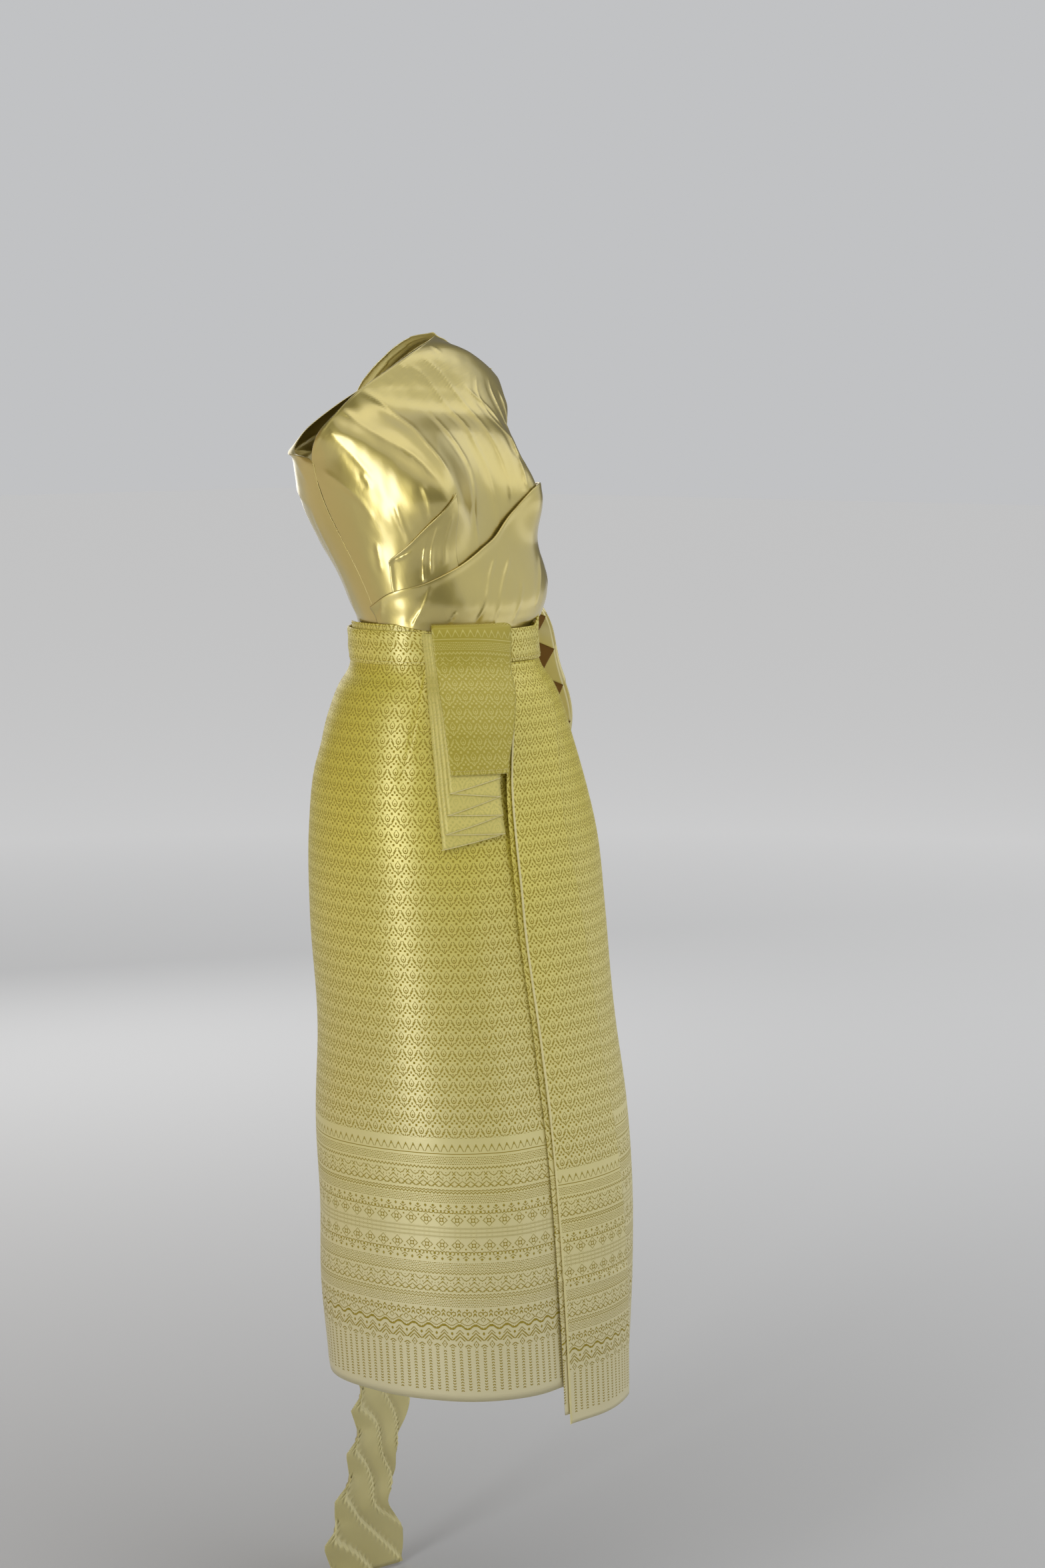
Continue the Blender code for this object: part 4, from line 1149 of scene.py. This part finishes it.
# The belt's folded end
tab = {
    "layers": 7,
    "pitch": 0.0017,
    "wall": 0.0009,
    "flapBottom": 0.163,
    "bottoms": [0.1680, 0.1835, 0.1894, 0.2087, 0.2110, 0.2310, 0.2330, 0.2490],
    "fan": 6.0,
    "inset": 6.0,
    "base": 0.0030 + seamGap + looseGap,
    "edges": table(
        "drop rightEdge leftEdge",
        [(0.000, -50.0, -6.0), (0.040, -49.0, -8.0), (0.100, -46.5, -15.0), (0.160, -44.0, -21.0),
         (0.245, -43.5, -23.0)],
    ),
    "patterned": 0.037,
    "stitchDrop": 0.158,
    "foldTop": 0.002,
    "bendSteps": 14,
    "flapFlat": (0.085, 0.195),
    "foldsFlat": (0.60, 0.235),
}


def tabEdges(drop):
    return read(tab["edges"], "drop", "rightEdge", drop), read(tab["edges"], "drop", "leftEdge", drop)


stack = tab["layers"] * tab["pitch"]
inside = -2 * 0.0016 - looseGap
outside = tab["base"] + stack + looseGap + 0.0016
path = [(drop, inside) for drop in np.linspace(0.024, 0.004, 6)]
for step in range(tab["bendSteps"]):
    turn = math.pi * (step + 0.5) / tab["bendSteps"]
    middle, reach = (outside + inside) / 2, (outside - inside) / 2
    path.append((-0.0035 - 0.0045 * math.sin(turn), middle - reach * math.cos(turn)))
path += [(drop, outside) for drop in np.linspace(0.004, tab["flapBottom"], 70)]
drops, outs = np.array(path).T
drop, share = grid(drops, np.linspace(0, 1, 36))
out, _ = grid(outs, np.linspace(0, 1, 36))
right, left = tabEdges(np.maximum(drop, 0.0))
points = skirtForm(right + (left - right) * share, drop, out)
relief = 0.0005 * ripple(share * 0.08, drop, 51, 6, 0.12, 0.04) * (out > outside - 1e-6)
points = movedOut(points, relief)
uv = clothUv(points)
uv[..., 1] = uv[-1:, :, 1] - uv[..., 1]
tabFlap = clothPiece("tabFlap", [(points, uv, 0)], brocadeWall, [tabBrocade, tabEndBrocade, selvage],
                     "tab_flap", tab["flapFlat"], rimFinish=2)
upper = (drop[:-1, :-1] < tab["patterned"]).ravel()
tabFlap.data.polygons.foreach_set("material_index", np.where(upper, 1, 0))
stitchRow = int(np.abs(drops - tab["stitchDrop"]).argmin())
seamLine("flapHemStitches", onSurface(points, stitchRow, axis=0), plainStitch)

path = []
for layer in range(tab["layers"]):
    shares = np.linspace(0.0, 1.0, 15) if layer % 2 else np.linspace(1.0, 0.0, 15)
    level = np.linspace(0.0, 1.0, 15)
    depth = tab["base"] + stack - (layer + 0.5) * tab["pitch"]
    path += [(share, depth, layer + step) for share, step in zip(shares, level)]
share, depth, turn = np.array(path).T
drops = np.linspace(tab["foldTop"], tab["bottoms"][-1], 90)
drop, shareAt = grid(drops, share)
_, depthAt = grid(drops, depth)
_, turnAt = grid(drops, turn)
bottom = np.interp(turnAt, np.arange(len(tab["bottoms"])), tab["bottoms"])
longest = tab["bottoms"][-1] - tab["foldTop"]
drop = tab["foldTop"] + (drop - tab["foldTop"]) * (bottom - tab["foldTop"]) / longest
right, left = tabEdges(drop)
right -= tab["fan"] * turnAt / tab["layers"]
left -= tab["inset"] * (1.0 - 0.75 * drop / tab["bottoms"][-1])
points = skirtForm(right + (left - right) * shareAt, drop, depthAt)
clothPiece("tabFolds", [(points, clothUv(points), 0)], tab["wall"], [foldBrocade, selvage], "tab_folds",
           tab["foldsFlat"], offset=0.0, rimFinish=1)
seamLine("foldEndCord", points[-1], foldCord)
print("belt end made")

# The sash
sash = {
    "rowSteps": 300,
    "columnSteps": 121,
    "folds": 5,
    "pleats": 15,
    "flat": (0.28, 1.72),
    "tail": {
        "top": 0.90,
        "blend": 0.08,
        "pitch": 0.0575,
        "firstNotch": 1.0849,
        "ridges": 2.5,
        "height": 0.009,
        "tip": 0.0135,
        "tipAt": 0.43,  # where the tip lies between two notches
        "leftEdge": table(  # how far the notches lie in from the solid's edge, as the photograph shows
            "drop in",
            [(0.900, 0.030), (1.029, 0.026), (1.085, 0.022), (1.144, 0.0115), (1.201, -0.005),
             (1.285, -0.012)],
        ),
        "rightEdge": table(
            "drop in",
            [(0.900, 0.000), (1.029, 0.004), (1.079, 0.005), (1.122, -0.008), (1.155, -0.006),
             (1.191, -0.016), (1.220, -0.003), (1.266, 0.006), (1.285, 0.006)],
        ),
    },
    "rows": table(
        "z leftX leftY leftRise rightX rightY rightRise bow fold",
        [
            (0.3375, 0.175, 0.0705, -0.027, 0.063, 0.0705, 0.017, 0.000, 0.0006),
            (0.3350, 0.174, 0.0920, -0.020, 0.056, 0.1120, 0.009, 0.003, 0.0020),
            (0.3030, 0.171, 0.1080, -0.006, 0.040, 0.1520, 0.006, 0.006, 0.0030),
            (0.2700, 0.168, 0.1220, 0.000, 0.036, 0.1790, 0.000, 0.008, 0.0040),
            (0.2150, 0.167, 0.1280, 0.000, 0.040, 0.1960, 0.000, 0.012, 0.0050),
            (0.1400, 0.175, 0.1020, 0.000, 0.046, 0.1860, 0.000, 0.018, 0.0060),
            (0.0600, 0.188, 0.0450, 0.000, 0.050, 0.1620, 0.000, 0.022, 0.0070),
            (0.0000, 0.193, -0.0040, 0.000, 0.052, 0.1480, 0.000, 0.026, 0.0080),
            (-0.0600, 0.206, -0.0120, 0.000, 0.050, 0.1560, 0.000, 0.028, 0.0080),
            (-0.1400, 0.234, -0.0120, 0.000, 0.045, 0.1760, 0.000, 0.030, 0.0080),
            (-0.2500, 0.236, 0.0300, 0.000, 0.040, 0.1880, 0.000, 0.028, 0.0080),
            (-0.4000, 0.207, 0.0950, 0.000, 0.032, 0.1930, 0.000, 0.018, 0.0090),
            (-0.6000, 0.172, 0.1500, 0.000, 0.022, 0.1940, 0.000, 0.008, 0.0090),
            (-0.8000, 0.150, 0.1720, 0.000, 0.016, 0.1950, 0.000, 0.002, 0.0090),
            (-1.0000, 0.128, 0.1840, 0.000, 0.014, 0.1960, 0.000, 0.000, 0.0090),
            (-1.1400, 0.120, 0.1880, 0.000, 0.014, 0.1970, 0.000, 0.000, 0.0090),
            (-1.2850, 0.116, 0.1900, 0.000, 0.012, 0.1980, 0.000, 0.000, 0.0090),
        ],
    ),
}
right = np.array([0.643, -0.766, 0.0])  # across the photograph
deep = np.array([0.766, 0.643, 0.0])  # away from it
step, share = grid(np.linspace(0, 1, sash["rowSteps"]), np.linspace(0, 1, sash["columnSteps"]))
index = step * (len(sash["rows"]["z"]) - 1)
knots = np.arange(len(sash["rows"]["z"]), dtype=float)
value = {name: through(knots, column, index) for name, column in sash["rows"].items()}
near = np.stack([value["leftX"], value["leftY"], value["z"] + value["leftRise"]], axis=-1)
far = np.stack([value["rightX"], value["rightY"], value["z"] + value["rightRise"]], axis=-1)
points = near + (far - near) * share[..., None]
points = movedOut(points, value["bow"] * np.sin(math.pi * share))
tail = sash["tail"]
below = -value["z"]
steps = smoothStep((below - tail["top"]) / tail["blend"])
wander = share + 0.010 * np.sin(3.0 * index / 2 + 5.0 * share)
fold = value["fold"] * np.cos(2 * math.pi * sash["folds"] * wander)
saw = (wander * sash["pleats"]) % 1.0
knife = (saw**0.7 - 0.5) * 0.0022 * smoothStep(index / 1.5)
strip = ((share - 1.0) * tail["ridges"] + (below - tail["firstNotch"]) / tail["pitch"]) % 1.0
stepped = np.minimum(1.0 - strip, strip / 0.06) - 0.5
points = movedOut(points, (fold + knife) * (1 - steps) - tail["height"] * stepped * steps)
notch = ((below - tail["firstNotch"]) / tail["pitch"]) % 1.0
tip = tail["tip"] * np.minimum(notch / tail["tipAt"], (1.0 - notch) / (1.0 - tail["tipAt"]))
tip *= smoothStep((share - 0.5) / 0.5)
inwards = share * read(tail["leftEdge"], "drop", "in", below)
inwards += (1 - share) * read(tail["rightEdge"], "drop", "in", below)
points[..., 0] += steps * (inwards - tip) / right[0]
mainUv = clothUv(points)
sewnIn = -0.5 * lameWall * normalsOf(points)  # the middle of the wall

cascade = {
    "tips": [0.030, 0.000, -0.042, -0.089, -0.138, -0.187, -0.236, -0.285],
    "lift": 0.012,
    "width": 0.026,
    "pitch": 0.0019,
    "start": -0.012,
    "top": 0.036,
    "columns": 12,
    "rows": 60,
}
tips = cascade["tips"]
bottoms = []
for above, below in zip(tips[:-1], tips[1:]):
    bottoms += [above, below + cascade["lift"]]
bottoms.append(tips[-1])
path = []
for layer in range(len(bottoms) - 1):
    level = np.linspace(0.0, 1.0, cascade["columns"])
    shares = level if layer % 2 else 1.0 - level
    path += [(share, layer + step, layer) for share, step in zip(shares, level)]
share, turn, depth = np.array(path).T
step, shareAt = grid(np.linspace(0, 1, cascade["rows"]), share)
_, turnAt = grid(np.linspace(0, 1, cascade["rows"]), turn)
_, depthAt = grid(np.linspace(0, 1, cascade["rows"]), depth)
bottom = np.interp(turnAt, np.arange(len(bottoms)), bottoms)
z = cascade["top"] + (bottom - cascade["top"]) * step
edgeX = through(-sash["rows"]["z"], sash["rows"]["leftX"], -z)
edgeY = through(-sash["rows"]["z"], sash["rows"]["leftY"], -z)
edge = np.stack([edgeX, edgeY, z], axis=-1)
narrow = smoothStep((cascade["top"] - z) / 0.030)
away = cascade["width"] * (1 - shareAt) + 0.014 * (1 - narrow)
lean = cascade["start"] + cascade["pitch"] * depthAt
folded = edge - away[..., None] * right + lean[..., None] * deep
lastLayer = len(bottoms) - 2
hind = int(np.argmax(depth == lastLayer))
foldedUv = clothUv(folded)
# the backs of the cascade's folded layers take the painted dark brown shade; the rest of the sash is light
# on both sides
cloths = [
    (points, mainUv, 0),
    (folded[:, : hind + 1], foldedUv[:, : hind + 1], 1),
    (folded[:, hind:], foldedUv[:, hind:], 0),
]
clothPiece("sashCloth", cloths, lameWall, [sashLame, sashLame, sashFoldShade], "sash",
           sash["flat"], backFinish=1)
for name, column, seed in (("sashLeftStitches", 3, 5), ("sashRightStitches", -4, 6)):
    seamLine(name, points[:, column] + sewnIn[:, column], pickStitch, seed)
seamLine("sashEndStitches", points[-3] + sewnIn[-3], pickStitch, 7)
print("sash made")

# The studio: pale floor, soft lamps, and the camera of the photograph
studio = {
    "floor": -1.2900,
    "background": 0.55,
    "around": 0.13,
    "lamps": [  # name, azimuth, distance, height, width, tall, power, colour
        ("Key window", -84.0, 3.4, 0.40, 0.7, 2.8, 40.0, (0.96, 0.98, 1.0)),
        ("Soft wall", 40.0, 4.0, 1.3, 8.6, 5.4, 82.0, (0.95, 0.98, 1.0)),
        ("Soft ceiling", 40.0, 1.5, 3.5, 5.5, 5.2, 56.0, (0.98, 0.99, 1.0)),
        ("Back fill", 150.0, 3.8, 0.9, 2.4, 2.4, 28.0, (1.0, 0.99, 0.97)),
        ("Warm side", -146.0, 3.0, 0.1, 3.2, 3.0, 4.5, (1.0, 0.50, 0.08)),
    ],
    "sky": {"strength": 0.5, "azimuth": -40.0, "elevation": 62.0, "angle": 60.0},
    "floorNear": (0.50, 0.50, 0.505),
    "floorFar": (0.93, 0.935, 0.95),
    "floorSize": 80.0,
    "floorReach": 7.0,
    "floorGlow": 0.30,
}
bpy.ops.mesh.primitive_plane_add(size=studio["floorSize"], location=(0, 0, studio["floor"]))
floor = bpy.context.object
floor.name = "Floor"
floorPaint, floorTree, floorShader = freshMaterial("Pale floor")
where = floorTree.nodes.new("ShaderNodeTexCoord")
length = floorTree.nodes.new("ShaderNodeVectorMath")
length.operation = "LENGTH"
floorTree.links.new(where.outputs["Object"], length.inputs[0])
away = maths(floorTree, "DIVIDE", length.outputs["Value"], studio["floorReach"])
away = maths(floorTree, "MINIMUM", away, 1.0)
floorTree.links.new(
    colourMix(floorTree, away, studio["floorNear"], studio["floorFar"]), floorShader.inputs["Base Color"]
)
glow = maths(floorTree, "MULTIPLY", away, studio["floorGlow"])
floorTree.links.new(glow, floorShader.inputs["Emission Strength"])
floorShader.inputs["Emission Color"].default_value = (1.0, 1.0, 1.0, 1.0)
floorShader.inputs["Roughness"].default_value = 0.8
floor.data.materials.append(floorPaint)

for name, azimuth, distance, height, width, tall, power, colour in studio["lamps"]:
    lamp = bpy.data.lights.new(name, "AREA")
    lamp.shape = "RECTANGLE"
    lamp.size = width
    lamp.size_y = tall
    lamp.energy = power
    lamp.color = colour
    turn = math.radians(azimuth)
    holder = bpy.data.objects.new(name, lamp)
    holder.location = (distance * math.sin(turn), -distance * math.cos(turn), height)
    towards = Vector((0, 0, 0.1 if height > 2 else -0.35)) - holder.location
    holder.rotation_euler = towards.to_track_quat("-Z", "Y").to_euler()
    bpy.context.scene.collection.objects.link(holder)
sky = bpy.data.lights.new("Soft top", "SUN")
sky.energy = studio["sky"]["strength"]
sky.angle = math.radians(studio["sky"]["angle"])
holder = bpy.data.objects.new("Soft top", sky)
turn, rise = math.radians(studio["sky"]["azimuth"]), math.radians(studio["sky"]["elevation"])
towards = -Vector((math.sin(turn) * math.cos(rise), -math.cos(turn) * math.cos(rise), math.sin(rise)))
holder.rotation_euler = towards.to_track_quat("-Z", "Y").to_euler()
bpy.context.scene.collection.objects.link(holder)

world = bpy.data.worlds.new("Pale studio")
bpy.context.scene.world = world
world.use_nodes = True
worldTree = world.node_tree
around = worldTree.nodes["Background"]
around.inputs[0].default_value = (1.0, 0.99, 0.97, 1.0)
around.inputs[1].default_value = studio["around"]
behind = worldTree.nodes.new("ShaderNodeBackground")
behind.inputs[0].default_value = (0.97, 0.98, 1.0, 1.0)
behind.inputs[1].default_value = studio["background"]
ray = worldTree.nodes.new("ShaderNodeLightPath")
pick = worldTree.nodes.new("ShaderNodeMixShader")
worldTree.links.new(ray.outputs["Is Camera Ray"], pick.inputs[0])
worldTree.links.new(around.outputs[0], pick.inputs[1])
worldTree.links.new(behind.outputs[0], pick.inputs[2])
worldTree.links.new(pick.outputs[0], worldTree.nodes["World Output"].inputs[0])

photograph = {
    "lens": 64.97,
    "sensor": 36.0,
    "place": (-2.58036, -2.29210, 0.255),
    "tilt": 82.54,
    "turn": -50.0,
}
camera = bpy.data.cameras.new("Camera")
camera.lens = photograph["lens"]
camera.sensor_width = photograph["sensor"]
viewer = bpy.data.objects.new("Camera", camera)
viewer.location = photograph["place"]
viewer.rotation_euler = (math.radians(photograph["tilt"]), 0.0, math.radians(photograph["turn"]))
bpy.context.scene.collection.objects.link(viewer)
bpy.context.scene.camera = viewer
bpy.context.scene.view_settings.view_transform = "Standard"
print("studio made")
